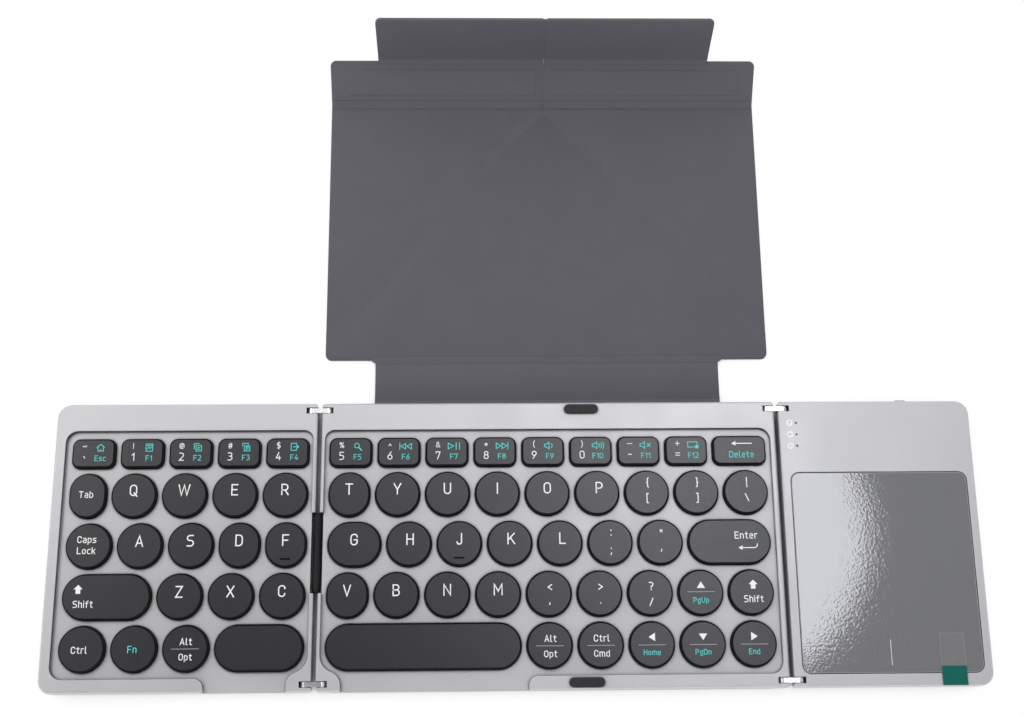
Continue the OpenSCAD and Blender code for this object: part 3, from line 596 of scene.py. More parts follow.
def straight_fold(name, y, x0, x1, mat, depth, bend=0.0, place=None, wa=FOLD_W,
                  flare=0.0, mirror=False, thin_end=False):
    """Leather over a fold that runs along X, bent up by bend degrees about the top face."""
    pivot = Vector((0, y, LEATHER))
    place = place or Matrix.Identity(4)
    wb = FOLD_W

    def point(u, v, side):
        s = v * ((wa if v < 0 else wb) + LAP)
        grow = flare * smooth((s + 0.9) / 1.2)
        right = 0 if mirror or bend else grow
        x = (x0 - grow) * (1 - u) + (x1 + right) * u
        z = fold_height(s, side, depth)
        if thin_end and u > 0.995:
            z = 0.75 if side > 0 else 0.45
        p = Vector((x, s, z - LEATHER))
        a = math.radians(bend) * smooth((s + wa) / (wa + wb))
        p = Matrix.Rotation(a, 3, "X") @ p
        return place @ (pivot + p)

    ob = grid_piece(name, point, 60, 30, mat, mirror)
    sign = -1 if mirror else 1
    mid = sign * (x0 + x1) / 2

    def end(s, turn):
        p = Matrix.Rotation(math.radians(turn), 3, "X") @ Vector((0, s, 0))
        p = place @ (pivot + p)
        p.x = mid
        return tuple(p * MM)

    end(-wa, 0)
    end(wb, bend)
    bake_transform(ob)


def slant_fold(name, mat, mirror=False):
    """Leather over a slanted fold of the lid, cut off where it meets its mirror image."""
    d = SLANT_DIR
    left = SLANT_LEFT
    y_end = STRIP_Y - FOLD_W

    def point(u, v, side):
        s = v * (FOLD_W + LAP)
        start = SLANT + left * s
        t0 = (-COVER_X - start.x) / d.x
        t1 = min((y_end - start.y) / d.y, -start.x / d.x)
        p = start + d * (t0 + (t1 - t0) * u)
        p.z = fold_height(s, side, 0.05)
        return p

    ob = grid_piece(name, point, 90, 30, mat, mirror)
    mid = SLANT + d * 58
    a = mid - left * FOLD_W
    b = mid + left * FOLD_W
    if mirror:
        a.x, b.x = -a.x, -b.x
    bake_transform(ob)


def strip_place():
    lift = Matrix.Translation((0, 0, LEATHER))
    return (Matrix.Translation((0, STRIP_Y, 0)) @ lift
            @ Matrix.Rotation(math.radians(STRIP_A), 4, "X") @ lift.inverted())


def flap_place():
    lift = Matrix.Translation((0, 0, LEATHER))
    return (strip_place() @ Matrix.Translation((0, STRIP_L, 0)) @ lift
            @ Matrix.Rotation(math.radians(FLAP_A), 4, "X") @ lift.inverted())


def metres(m):
    out = m.copy()
    out.translation = m.translation * MM
    return out


def make_base_and_neck(skin, fold):
    base = plate("base_skin", [(-COVER_X, -BASE_Y, BASE_R), (COVER_X, -BASE_Y, BASE_R),
                               (COVER_X, BASE_Y, BASE_R), (-COVER_X, BASE_Y, BASE_R)],
                 skin, "middle", z1=LEATHER - 0.02, edge=0.25)
    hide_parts("cover_base")
    straight_fold("neck_fold_skin", NECK_Y, -NECK_X, NECK_X, fold, 0.1, wa=0.7)
    neck = plate("neck_skin", [(-NECK_X, NECK_Y + FOLD_W), (NECK_X, NECK_Y + FOLD_W),
                               (NECK_X, LID_Y - FOLD_W), (-NECK_X, LID_Y - FOLD_W)], skin, "neck")
    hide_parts("cover_neck")
    straight_fold("lid_fold_skin", LID_Y, -NECK_X, NECK_X, fold, 0.12,
                  flare=FLARE)


def make_lid_centre(skin):
    """Centre of the lid, between the slanted folds."""
    d = SLANT_DIR
    inner = SLANT - SLANT_LEFT * FOLD_W
    side = inner + d * ((-COVER_X - inner.x) / d.x)
    tip = inner + d * (-inner.x / d.x)
    y0 = LID_Y + 0.3
    y1 = LID_Y + FOLD_W
    x1 = NECK_X + FLARE
    centre = plate("lid_centre_skin",
                   [(-COVER_X, y0, 2), (-x1, y0), (-x1, y1), (x1, y1), (x1, y0), (COVER_X, y0, 2),
                    (COVER_X, side.y), (0, tip.y), (-COVER_X, side.y)], skin, "lid_centre")
    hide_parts("cover_centre")


def make_wing(hand, skin, fold, mirror):
    d = SLANT_DIR
    outer = SLANT + SLANT_LEFT * FOLD_W
    low_y = (outer + d * ((-COVER_X - outer.x) / d.x)).y
    high_x = (outer + d * ((STRIP_Y - FOLD_W - outer.y) / d.y)).x
    wing = plate(hand + "_wing_skin",
                 [(-COVER_X, low_y), (high_x, STRIP_Y - FOLD_W), (-COVER_X, STRIP_Y - FOLD_W)],
                 skin, hand + "_wing", mirror=mirror)
    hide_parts("cover_" + hand + "_wing")
    slant_fold(hand + "_slant_skin", fold, mirror)


def make_seam(part, y_end, place, fold, mirror):
    """Thin skin at the middle crease of a strip or flap."""
    x = SEAM_X - 0.3
    plate(part + "_seam", [(x, FOLD_W), (CREASE_X, FOLD_W), (CREASE_X, y_end), (x, y_end)], fold, part,
          place=place, z0=0.2, z1=LEATHER - 0.06, edge=0.03, mirror=mirror)


def make_strip(hand, skin, fold, mirror):
    straight_fold(hand + "_strip_fold_skin", STRIP_Y, -COVER_X, CREASE_X,
                  fold, 0.26, bend=STRIP_A, mirror=mirror, thin_end=True)
    place = metres(strip_place())
    y1 = STRIP_L - FOLD_W
    y2 = STRIP_L - 0.3
    strip = plate(hand + "_strip_skin",
                  [(-COVER_X, FOLD_W), (SEAM_X, FOLD_W), (SEAM_X, y1), (-NECK_X - 0.04, y1),
                   (-NECK_X - 0.04, y2), (-COVER_X, y2, 2)],
                  skin, hand + "_strip", place=place, mirror=mirror)
    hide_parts("cover_" + hand + "_strip")
    pad = plate(hand + "_magnet_skin",
                [(-69.7, 3.5, 0.8), (-2.7, 3.5, 0.8), (-2.7, 12.5, 0.8), (-69.7, 12.5, 0.8)],
                skin, hand + "_strip", place=place, z0=1.0, z1=1.39, edge=0.16, mirror=mirror)
    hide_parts(hand + "_magnet_plate")
    make_seam(hand + "_strip", y1, place, fold, mirror)


def make_flap(hand, skin, fold, mirror):
    straight_fold(hand + "_flap_fold_skin", STRIP_L, -NECK_X, CREASE_X,
                  fold, 0.06, bend=FLAP_A, place=strip_place(), mirror=mirror,
                  thin_end=True)
    place = metres(flap_place())
    flap = plate(hand + "_flap_skin",
                 [(-NECK_X, FOLD_W), (SEAM_X, FOLD_W), (SEAM_X, FLAP_L), (-NECK_X, FLAP_L, 2)],
                 skin, hand + "_flap", place=place, mirror=mirror)
    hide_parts("cover_" + hand + "_flap")
    make_seam(hand + "_flap", FLAP_L - 0.3, place, fold, mirror)


def make_cover(mats):
    skin, fold = mats["leather"], mats["fold"]
    make_base_and_neck(skin, fold)
    make_lid_centre(skin)
    for hand, mirror in (("left", False), ("right", True)):
        make_wing(hand, skin, fold, mirror)
        make_strip(hand, skin, fold, mirror)
        make_flap(hand, skin, fold, mirror)


# Legends

KEY_D = 14.6
NUMBER_W = 13.88
ROW_Y = [30.25, 16.25, -0.15, -16.55, -32.95]


def layout():
    """Key id -> (body, middle x, middle y)."""
    rows = [
        (-157.0, 0, 2.0, [("esc", "esc_key", NUMBER_W)]
            + [(str(i), "left_number_keys", NUMBER_W) for i in (1, 2, 3, 4)]),
        (-157.0, 1, 1.8, [("tab", "tab_key", 11.8)]
            + [(c, "left_upper_keys", KEY_D) for c in "QWER"]),
        (-157.0, 2, 1.8, [("caps", "caps_lock_key", KEY_D)]
            + [(c, "left_lower_keys", w) for c, w in zip("ASDF", (KEY_D, KEY_D, 13.2, 13.2))]),
        (-157.0, 3, 1.8, [("shift", "left_shift_key", 28.2)]
            + [(c, "left_lower_keys", KEY_D) for c in "ZXC"]),
        (-157.0, 4, 1.8, [(c, "left_modifier_keys", KEY_D) for c in ("ctrl", "fn", "alt")]
            + [("blank", "left_space_key", 28.2)]),
        (-72.7, 0, 2.0, [(c, "number_keys", NUMBER_W) for c in "567890-="]
            + [("delete", "delete_key", 17.56)]),
        (-72.7, 1, 1.8, [("T", "upper_keys", 13.4)]
            + [(c, "upper_keys", KEY_D) for c in "YUIOP[]\\"]),
        (-72.7, 2, 1.8, [("G", "home_keys", 17.3)] + [(c, "home_keys", KEY_D) for c in "HJKL;'"]
            + [("enter", "enter_key", 27.1)]),
        (-72.7, 3, 1.8, [("V", "lower_keys", 13.4)] + [(c, "lower_keys", KEY_D) for c in "BNM,./"]
            + [("up", "arrow_keys", KEY_D), ("shift2", "right_shift_key", KEY_D)]),
        (-72.7, 4, 1.8, [("space", "space_key", 62.6), ("alt2", "modifier_keys", KEY_D),
                         ("ctrl2", "modifier_keys", KEY_D)]
            + [(c, "arrow_keys", KEY_D) for c in ("left", "down", "right")]),
    ]
    out = {}
    for x, row, gap, keys in rows:
        for name, node, w in keys:
            out[name] = (node + "_caps", x + w / 2, ROW_Y[row])
            x += w + gap
    return out


# Letters drawn with one pen: x,y[,corner radius] in tenths of the capital height, z closes
GLYPHS = {
    "A": "0,0 3.2,10 6.4,0|1,3 5.4,3",
    "B": "0,0 5.8,0,2.6 5.8,5.2,2.6 0,5.2|0,5.2 5.3,5.2,2.4 5.3,10,2.4 0,10 0,0",
    "C": "5.8,7.4 5.8,10,2.4 0,10,2.9 0,0,2.9 5.8,0,2.4 5.8,2.6",
    "D": "0,0 6,0,3 6,10,3 0,10 z",
    "E": "5.4,0 0,0 0,10 5.4,10|0,5.1 4.7,5.1",
    "F": "0,0 0,10 5.4,10|0,4.9 4.6,4.9",
    "G": "5.9,7.5 5.9,10,2.3 0,10,2.9 0,0,2.9 5.9,0,2.9 5.9,4.8 3.3,4.8",
    "H": "0,0 0,10|6,0 6,10|0,5.1 6,5.1",
    "I": "0,0 0,10",
    "J": "4.2,10 4.2,0,2.1 0,0,1.8 0,2",
    "K": "0,0 0,10|6,10 0,3.6|2.3,5.9 6.3,0",
    "L": "0,10 0,0 5.2,0",
    "M": "0,0 0,10 3.7,3.4 7.4,10 7.4,0",
    "N": "0,0 0,10 6.2,0 6.2,10",
    "O": "0,0,3 6,0,3 6,10,3 0,10,3 z",
    "P": "0,0 0,10 5.8,10,2.7 5.8,4.4,2.7 0,4.4",
    "Q": "0,0,3 6,0,3 6,10,3 0,10,3 z|3.7,2.5 6.6,-0.8",
    "R": "0,0 0,10 5.7,10,2.7 5.7,4.4,2.7 0,4.4|3.1,4.4 6.1,0",
    "S": "5.4,10 0,10,2.5 0,5.2,2.3 5.8,5.2,2.5 5.8,0,2.6 0.2,0",
    "T": "3.1,0 3.1,10|0,10 6.2,10",
    "U": "0,10 0,0,3 6,0,3 6,10",
    "V": "0,10 3.2,0 6.4,10",
    "W": "0,10 2.6,0 5.2,10 7.8,0 10.4,10",
    "X": "0,0 6.2,10|0,10 6.2,0",
    "Y": "0,10 3.2,4.4 6.4,10|3.2,4.4 3.2,0",
    "Z": "0,10 5.8,10 0,0 5.9,0",
    "0": "0,0,2.8 5.6,0,2.8 5.6,10,2.8 0,10,2.8 z",
    "1": "0,7.6 2.6,10 2.6,0",
    "2": "0.3,10 5.3,10,2.5 5.3,6,1.2 0,0 5.6,0",
    "3": "0.3,10 5.3,10,2.2 5.3,5.4,2.2 2,5.4|2,5.4 5.6,5.4,2.6 5.6,0,2.6 0.1,0",
    "4": "3.4,10 0,2.6 5.9,2.6|4.2,0 4.2,5",
    "5": "5.2,10 0.4,10 0.2,5.7 5.5,5.7,2.7 5.5,0,2.7 0.1,0",
    "6": "0,0,2.8 5.6,0,2.8 5.6,5.9,2.8 0,5.9,2.8 z|4.4,10 0.4,4",
    "7": "0,8.4 0,10 5.4,10 2,0",
    "8": "0.4,5.4,2.2 5.2,5.4,2.2 5.2,10,2.2 0.4,10,2.2 z|0,0,2.6 5.6,0,2.6 5.6,5.4,2.6 0,5.4,2.6 z",
    "9": "0,4.1,2.8 5.6,4.1,2.8 5.6,10,2.8 0,10,2.8 z|1.2,0 5.2,6",
    "a": "0.5,7.2 4.8,7.2,2 4.8,0|4.8,4.1 0,4.1,1.9 0,0,1.9 4.8,0",
    "b": "0,10 0,0 4.9,0,2.4 4.9,7.2,2.4 0,7.2",
    "c": "4.3,7 3.4,7.2,0.5 0,7.2,2.2 0,0,2.2 3.4,0,0.5 4.3,0.2",
    "d": "4.9,10 4.9,0 0,0,2.4 0,7.2,2.4 4.9,7.2",
    "e": "0,3.7 4.9,3.7 4.9,7.2,2.4 0,7.2,2.4 0,0,2.4 4.3,0",
    "f": "1.4,0 1.4,10,1.8 3.8,10|0,6.6 3.5,6.6",
    "g": "4.9,0 0,0,2.4 0,7.2,2.4 4.9,7.2 4.9,-2.8,2.1 0.7,-2.8",
    "h": "0,0 0,10|0,7.2 4.8,7.2,2.3 4.8,0",
    "i": "0,0 0,7.2|0,9.5 0,10",
    "k": "0,0 0,10|4.6,7.2 0,2.6|1.8,4.3 4.8,0",
    "l": "0,10 0,0,1.5 1.7,0",
    "m": "0,0 0,7.2 4.2,7.2,2 4.2,0|3,7.2 8.4,7.2,2 8.4,0",
    "n": "0,0 0,7.2 4.8,7.2,2.3 4.8,0",
    "o": "0,0,2.4 4.9,0,2.4 4.9,7.2,2.4 0,7.2,2.4 z",
    "p": "0,-2.8 0,7.2 4.9,7.2,2.4 4.9,0,2.4 0,0",
    "r": "0,0 0,7.2 3.4,7.2",
    "s": "4.4,7.2 0,7.2,1.7 0,3.7,1.7 4.6,3.7,1.8 4.6,0,1.8 0,0",
    "t": "1.4,9.4 1.4,0,1.7 3.7,0|0,7.2 3.6,7.2",
    "~": "0,4 1.8,6.4,1 5.2,3.8,1 7,6.2",
    "`": "0,10 1.6,7.6",
    "!": "0,10 0,3|0,0.4 0,0",
    "@": "8,1.2 8,9,3.4 0,9,3.4 0,-1,3.4 6.4,-1|5.6,1.6 2.4,1.6,1.4 2.4,6.4,1.4 5.6,6.4 5.6,1.6",
    "#": "1.4,0 2.6,10|4.4,0 5.6,10|0,3.2 6.6,3.2|0.4,6.8 7,6.8",
    "$": "5.4,10 0,10,2.4 0,5.2,2.3 5.8,5.2,2.4 5.8,0,2.5 0.2,0|2.9,-2 2.9,12",
    "%": "1,0 6.6,10|0,6.2,1.3 2.8,6.2,1.3 2.8,10,1.3 0,10,1.3 z"
         "|4.8,0,1.3 7.6,0,1.3 7.6,3.8,1.3 4.8,3.8,1.3 z",
    "^": "0,6.6 2.2,10 4.4,6.6",
    "&": "6.8,0 1,6.6,1 1,10,1.7 4.6,10,1.7 4.6,6.6,1.2 0,3.8,1.4 0,0,1.9 4.6,0,2 6.4,3.8",
    "*": "2.6,4.4 2.6,10|0.2,5.8 5,8.6|0.2,8.6 5,5.8",
    "(": "1.9,-1.4 0,1.4,3 0,8.6,3 1.9,11.4",
    ")": "0,-1.4 1.9,1.4,3 1.9,8.6,3 0,11.4",
    "_": "0,5 9,5",
    "-": "0,5 5,5",
    "=": "0,3 6.6,3|0,6.8 6.6,6.8",
    "+": "0,5 8,5|4,1 4,9",
    "{": "2.4,11.6 1.2,11.6,1 1.2,5,1 0,5|0,5 1.2,5,1 1.2,-1.6,1 2.4,-1.6",
    "}": "0,11.6 1.2,11.6,1 1.2,5,1 2.4,5|2.4,5 1.2,5,1 1.2,-1.6,1 0,-1.6",
    "[": "2,-1.6 0,-1.6 0,11.6 2,11.6",
    "]": "0,-1.6 2,-1.6 2,11.6 0,11.6",
    "|": "0,-1.6 0,11.6",
    "\\": "0,10 4.4,0",
    "/": "0,0 4.4,10",
    ":": "0,0 0,0.4|0,6.8 0,7.2",
    ";": "0,6.8 0,7.2|0.2,0.5 -0.4,-1.8",
    '"': "0,10 0,7.4|2.2,10 2.2,7.4",
    "'": "0.3,10 -0.3,7.6",
    ",": "0.2,0.5 -0.4,-1.8",
    ".": "0,0 0,0.4",
    "<": "5,8.4 0,5 5,1.6",
    ">": "0,8.4 5,5 0,1.6",
    "?": "0.2,10 5.2,10,2.4 5.2,6,1.6 2.6,4.4,1 2.6,2.8|2.6,0.4 2.6,0",
}


def glyph(letter):
    """Pen strokes of one letter: [(points, closed), ...]."""
    strokes = []
    for part in GLYPHS[letter].split("|"):
        words = part.split()
        closed = words[-1] == "z"
        points = [[float(v) for v in w.split(",")] for w in words if w != "z"]
        strokes.append((rounded(points, closed), closed))
    return strokes


class Ink:
    """Collects flat marks in one mesh per body and colour."""

    def __init__(self):
        self.marks = {}
        self.count = 0

    def face_height(self, top):
        self.count += 1
        return (top + 0.02 + 0.003 * (self.count % 5)) * MM

    def target(self, body, colour):
        if (body, colour) not in self.marks:
            self.marks[(body, colour)] = bmesh.new()
        return self.marks[(body, colour)]

    def shape(self, body, points, colour, top=KEY_TOP):
        z = self.face_height(top)
        bm = self.target(body, colour)
        bm.faces.new([bm.verts.new((px * MM, py * MM, z)) for px, py in points])

    def line(self, body, points, w, colour, closed=False, top=KEY_TOP):
        """A pen line w wide, with mitred corners and square ends."""
        path = [Vector(p[:2]) for p in points]
        path = [p for i, p in enumerate(path) if i == 0 or (p - path[i - 1]).length > 1e-4]
        if closed and (path[0] - path[-1]).length < 1e-4:
            path.pop()
        n = len(path)
        z = self.face_height(top)
        bm = self.target(body, colour)
        sides = []
        for i, p in enumerate(path):
            before = (p - path[i - 1]).normalized() if closed or i else None
            after = (path[(i + 1) % n] - p).normalized() if closed or i < n - 1 else None
            if before is None:
                p = p - after * (w / 2)
            if after is None:
                p = p + before * (w / 2)
            a, b = before or after, after or before
            across = Vector((-a.y - b.y, a.x + b.x)).normalized()
            reach = (w / 2) / max(0.4, across.dot(Vector((-a.y, a.x))))
            sides.append([bm.verts.new(((p + across * k).x * MM, (p + across * k).y * MM, z))
                          for k in (reach, -reach)])
        for i in range(n if closed else n - 1):
            (a, b), (c, d) = sides[i], sides[(i + 1) % n]
            bm.faces.new((a, b, d, c))

    def text(self, body, text, x, y, h, colour, pen=0.11, centre=False, top=KEY_TOP):
        """Text h high whose middle is at x, y; centred on its own height if asked."""
        k = h / 10 / (1 + pen)
        gap = (2.0 + 10 * pen) * k
        letters = []
        run = 0
        for letter in text:
            strokes = glyph(letter)
            xs = [p.x for path, closed in strokes for p in path]
            letters.append((strokes, run - min(xs) * k))
            run += (max(xs) - min(xs)) * k + gap
        ys = [p.y for strokes, _ in letters for path, closed in strokes for p in path]
        mid = (min(ys) + max(ys)) / 2 if centre else 5
        for strokes, left in letters:
            for path, closed in strokes:
                moved = [(x - (run - gap) / 2 + left + p.x * k, y + (p.y - mid) * k) for p in path]
                self.line(body, moved, h * pen, colour, closed, top)

    def disc(self, body, x, y, r, colour, top=KEY_TOP):
        n = 28
        pts = [(x + r * math.cos(2 * math.pi * i / n), y + r * math.sin(2 * math.pi * i / n))
               for i in range(n)]
        self.shape(body, pts, colour, top)

    def write(self, mats):
        for i, ((body, colour), bm) in enumerate(self.marks.items()):
            bm.normal_update()
            for f in bm.faces:
                if f.normal.z < 0:
                    f.normal_flip()
            me = bpy.data.meshes.new("legends")
            bm.to_mesh(me)
            bm.free()
            me.materials.append(mats[colour])
            ob = bpy.data.objects.new("legends_%02d_%s" % (i, colour), me)
            bpy.context.collection.objects.link(ob)
            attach(ob, body)


def icon(ink, body, kind, x, y, s):
    """Small line drawings, s high."""
    w = 0.1 * s
    h = s / 2

    def at(*pts):
        return [(x + px * h, y + py * h) for px, py in pts]

    def pen(*pts, closed=False, width=w):
        ink.line(body, at(*pts), width, "teal", closed)

    def fill(*pts):
        ink.shape(body, at(*pts), "teal")

    speaker = ((-1.4, -0.35), (-0.9, -0.35), (-0.2, -0.9), (-0.2, 0.9), (-0.9, 0.35), (-1.4, 0.35))
    if kind == "home":
        pen((-1.0, 0.1), (0, 0.95), (1.0, 0.1))
        pen((-0.7, 0.2), (-0.7, -0.9), (-0.25, -0.9), (0, -0.5), (0.25, -0.9), (0.7, -0.9), (0.7, 0.2))
    elif kind == "page":
        pen((-0.85, -0.95), (0.85, -0.95), (0.85, 0.95), (-0.85, 0.95), closed=True)
        pen((-0.6, -0.35), (-0.15, 0.2), (0.2, -0.25), (0.6, 0.2))
        pen((-0.5, 0.55), (0.5, 0.55))
    elif kind == "copy":
        pen((-0.95, -0.4), (-0.95, 1.0), (0.3, 1.0))
        pen((-0.45, -1.0), (0.95, -1.0), (0.95, 0.5), (-0.45, 0.5), closed=True)
        pen((0.55, -0.05), (0.05, -0.05), (0.05, -0.55), (0.55, -0.55))
    elif kind == "paste":
        pen((-0.95, 0.3), (-0.95, 1.0), (0.5, 1.0), (0.5, 0.6))
        pen((-0.5, -1.0), (0.95, -1.0), (0.95, 0.3), (-0.5, 0.3), closed=True)
        pen((0.0, -0.75), (0.0, 0.05), (0.5, 0.05), (0.5, -0.35), (0.0, -0.35))
    elif kind == "cut":
        pen((0.5, 0.5), (0.5, 0.95), (-0.9, 0.95), (-0.9, -0.95), (0.5, -0.95), (0.5, -0.5))
        pen((-0.35, 0.0), (0.7, 0.0))
        fill((0.6, -0.55), (1.25, 0.0), (0.6, 0.55))
    elif kind == "search":
        ring = [(-0.2 + 0.62 * math.cos(a * 0.5236), 0.25 + 0.62 * math.sin(a * 0.5236))
                for a in range(12)]
        pen(*ring, closed=True)
        pen((0.3, -0.25), (1.05, -1.0), width=1.6 * w)
    elif kind in ("back", "next"):
        m = -1 if kind == "back" else 1
        pen((-1.5 * m, 0.75), (-0.25 * m, 0), (-1.5 * m, -0.75), closed=True)
        pen((0.05 * m, 0.75), (1.3 * m, 0), (0.05 * m, -0.75), closed=True)
        pen((1.6 * m, 0.85), (1.6 * m, -0.85))
    elif kind == "play":
        pen((-1.5, 0.8), (-0.1, 0), (-1.5, -0.8), closed=True)
        pen((0.6, 0.85), (0.6, -0.85))
        pen((1.5, 0.85), (1.5, -0.85))
    elif kind in ("volume", "louder", "mute"):
        pen(*speaker, closed=True)
        waves = {"volume": (0.5,), "louder": (0.4, 0.95, 1.5), "mute": ()}[kind]
        for r in waves:
            k = 0.35 + 0.4 * r
            pen((r - 0.1, 0.9 * k), (r + 0.12, 0.4 * k), (r + 0.12, -0.4 * k), (r - 0.1, -0.9 * k))
        if kind == "mute":
            pen((0.5, 0.45), (1.4, -0.45))
            pen((0.5, -0.45), (1.4, 0.45))
    elif kind == "screen":
        pen((-1.4, -0.6), (1.1, -0.6), (1.1, 0.8), (-1.4, 0.8), closed=True)
        fill((0.6, -0.95), (1.45, -0.95), (1.45, -0.1), (0.6, -0.1))


class Legends:
    """Writes and draws on keys, which go by their ids in layout()."""

    def __init__(self, ink):
        self.ink = ink
        self.keys = layout()

    def text(self, key, s, dx, dy, h, colour="white", pen=0.13, centre=False):
        body, x, y = self.keys[key]
        self.ink.text(body, s, x + dx, y + dy, h, colour, pen, centre)

    def line(self, key, points, w, colour="white"):
        body, x, y = self.keys[key]
        self.ink.line(body, [(x + px, y + py) for px, py in points], w, colour)

    def shape(self, key, points):
        body, x, y = self.keys[key]
        self.ink.shape(body, [(x + px, y + py) for px, py in points], "white")

    def rule(self, key, dy):
        self.line(key, [(-4.3, dy), (4.3, dy)], 0.2, "grey")

    def arrow_up(self, key, dx, dy):
        body, x, y = self.keys[key]
        x, y = x + dx, y + dy
        self.ink.shape(body, [(x - 1.45, y + 0.05), (x + 1.45, y + 0.05), (x, y + 1.5)], "white")
        self.ink.shape(body, [(x - 0.75, y - 1.4), (x + 0.75, y - 1.4), (x + 0.75, y + 0.1),
                              (x - 0.75, y + 0.1)], "white")

    def triangle(self, key, dy, turn):
        body, x, y = self.keys[key]
        c, s = math.cos(math.radians(turn)), math.sin(math.radians(turn))
        pts = [(x + px * c - py * s, y + dy + px * s + py * c)
               for px, py in ((-1.35, -0.95), (1.35, -0.95), (0, 1.15))]
        self.ink.shape(body, pts, "white")


def write_letters(on):
    """Letters; some lie right of their key's middle."""
    shift = {"P": 0.7, "L": 0.8, "K": 0.5, "H": 0.4}
    for letters, dy in (("QWERTYUIOP", 1.6), ("ASDFGHJKLZXCVBNM", 1.4)):
        for c in letters:
            on.text(c, c, shift.get(c, 0), dy, 3.75, pen=0.11)


def write_number_row(on):
    """Sign over digit on the left of a key, picture over word on its right."""
    row = [("esc", "~", "`", "home", "Esc"), ("1", "!", "1", "page", "F1"),
           ("2", "@", "2", "copy", "F2"), ("3", "#", "3", "paste", "F3"),
           ("4", "$", "4", "cut", "F4"), ("5", "%", "5", "search", "F5"),
           ("6", "^", "6", "back", "F6"), ("7", "&", "7", "play", "F7"),
           ("8", "*", "8", "next", "F8"), ("9", "(", "9", "volume", "F9"),
           ("0", ")", "0", "louder", "F10"), ("-", "_", "-", "mute", "F11"),
           ("=", "+", "=", "screen", "F12")]
    for key, symbol, digit, kind, word in row:
        low = digit in "`-="
        on.text(key, symbol, -2.9, 2.3, 1.9, pen=0.12, centre=True)
        on.text(key, digit, -2.9, -1.3, 2.3 if low else 2.65, pen=0.11, centre=low)
        on.text(key, word, 2.3, -1.7, 1.85, "teal", pen=0.12)
        body, x, y = on.keys[key]
        icon(on.ink, body, kind, x + 2.3, y + 1.8, 2.5)


def write_words(on):
    on.text("tab", "Tab", -0.4, 0.3, 2.2)
    on.text("caps", "Caps", -0.5, 2.0, 2.2)
    on.text("caps", "Lock", -0.5, -1.6, 2.2)
    on.text("shift", "Shift", -7.2, -2.3, 2.2)
    on.arrow_up("shift", -9.0, 2.4)
    on.text("ctrl", "Ctrl", -0.6, -0.3, 2.2)
    on.text("fn", "Fn", -0.3, -0.2, 2.2, "teal")
    on.text("shift2", "Shift", 0.6, -2.2, 2.2)
    on.arrow_up("shift2", 0.6, 2.4)
    for key, upper, lower in (("alt", "Alt", "Opt"), ("alt2", "Alt", "Opt"), ("ctrl2", "Ctrl", "Cmd")):
        on.text(key, upper, 0.2, 2.1, 2.2)
        on.text(key, lower, 0.2, -2.7, 2.1)
        on.rule(key, -0.2)


def write_arrow_keys(on):
    for key, turn, word, dy in (("up", 0, "PgUp", 0.15), ("left", 90, "Home", -0.2),
                                ("down", 180, "PgDn", -0.2), ("right", 270, "End", -0.2)):
        on.triangle(key, 2.3, turn)
        on.rule(key, dy)
        on.text(key, word, -0.1, -2.5, 1.75, "teal")


def write_enter_and_delete(on):
    """Word with an arrow to the left under or over it."""
    on.text("enter", "Enter", 5.4, 2.0, 2.3)
    on.line("enter", [(9.0, -0.9), (8.9, -1.6), (8.2, -2.1), (3.6, -2.1)], 0.32)
    on.shape("enter", [(2.7, -2.1), (4.1, -2.85), (4.1, -1.35)])
    on.text("delete", "Delete", 0.6, -1.5, 2.1, "teal")
    on.line("delete", [(-1.6, 2.2), (4.1, 2.2)], 0.34)
    on.shape("delete", [(-2.7, 2.2), (-1.2, 1.4), (-1.2, 3.0)])


def write_sign_pairs(on):
    pairs = [("[", "{", "[", 3.2, -2.0), ("]", "}", "]", 3.2, -2.0), ("\\", "|", "\\", 3.1, -1.9),
             (";", ":", ";", 3.1, -3.0), ("'", '"', "'", 3.6, -2.8), (",", "<", ",", 2.0, -3.3),
             (".", ">", ".", 2.0, -3.2), ("/", "?", "/", 2.1, -3.0)]
    for key, upper, lower, up, down in pairs:
        on.text(key, upper, 0.3, up, 2.6, centre=True)
        on.text(key, lower, 0.2, down, 2.6, centre=True)


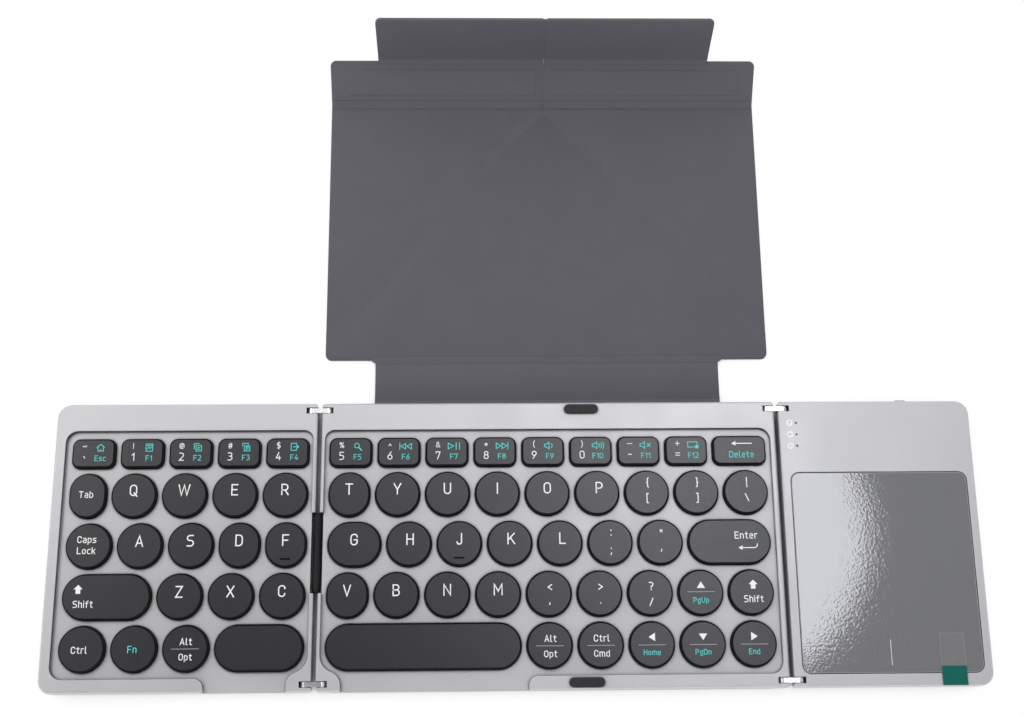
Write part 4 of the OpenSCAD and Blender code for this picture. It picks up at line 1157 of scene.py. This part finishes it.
def draw_status_signs(ink):
    """Round signs beside the status lights, each with a plain symbol."""
    top = PANEL_TOP + 0.02

    def pen(points, w=0.16, closed=False):
        ink.line("right_panel", points, w, "grey", closed, top)

    x = SIGN_X
    for i, sign in enumerate(("arrow", "link", "box")):
        y = SIGN_Y - SIGN_PITCH * i
        ink.disc("right_panel", x, y, 1.2, "white", PANEL_TOP)
        if sign == "arrow":
            pen([(x, y - 0.6), (x, y + 0.55)])
            pen([(x - 0.45, y + 0.1), (x, y + 0.6), (x + 0.45, y + 0.1)])
        elif sign == "link":
            pen([(x - 0.6, y), (x + 0.6, y)])
            ink.disc("right_panel", x, y, 0.28, "grey", PANEL_TOP + 0.025)
        else:
            pen([(x - 0.55, y - 0.3), (x + 0.45, y - 0.3), (x + 0.45, y + 0.3), (x - 0.55, y + 0.3)],
                0.13, True)


def draw_pad_lines(ink):
    """Grey line painted along the cut edge of the pull tab's clear part, as a painted reflection of
    that edge, and the line that parts the touchpad's buttons.
    """
    ink.line("right_panel", [(124.7, TAB_PRINT_Y), (124.7, -30.25), (132.5, -30.25),
                             (132.5, TAB_PRINT_Y)], 0.1, "grey", top=PANEL_TOP + 0.225)
    ink.line("touchpad_plate", [(108.7, -40.1), (108.7, -32.2)], 0.16, "white", top=PANEL_TOP + 0.01)


def make_legends(mats):
    """All marks. Each takes the next of five heights, so their order counts."""
    ink = Ink()
    on = Legends(ink)
    write_letters(on)
    write_number_row(on)
    write_words(on)
    write_arrow_keys(on)
    write_enter_and_delete(on)
    write_sign_pairs(on)
    draw_status_signs(ink)
    draw_pad_lines(ink)
    ink.write(mats)



make_camera()
make_world()
make_floor()
area("lamp", (0.212, 0.155, 1.0), (0.212, 0.155, 0.0), (0.34, 0.34), 1.08, (0.92, 0.94, 1), "DISK")
area("softbox", (0.1, 0.48, 1.0), (0.05, 0.1, 0.0), (0.6, 0.42), 2.3)
area("left_box", (-0.75, 0.45, 0.95), (-0.08, 0.03, 0.0), (0.7, 0.7), 4.6)
area("front_fill", (0.0, -0.95, 0.5), (0.0, 0.1, 0.0), (1.2, 0.5), 1.15)
bpy.context.scene.view_settings.view_transform = "Standard"

looks = make_materials()
paint_solids(looks)
make_cover(looks)
make_legends(looks)

bpy.context.view_layer.update()
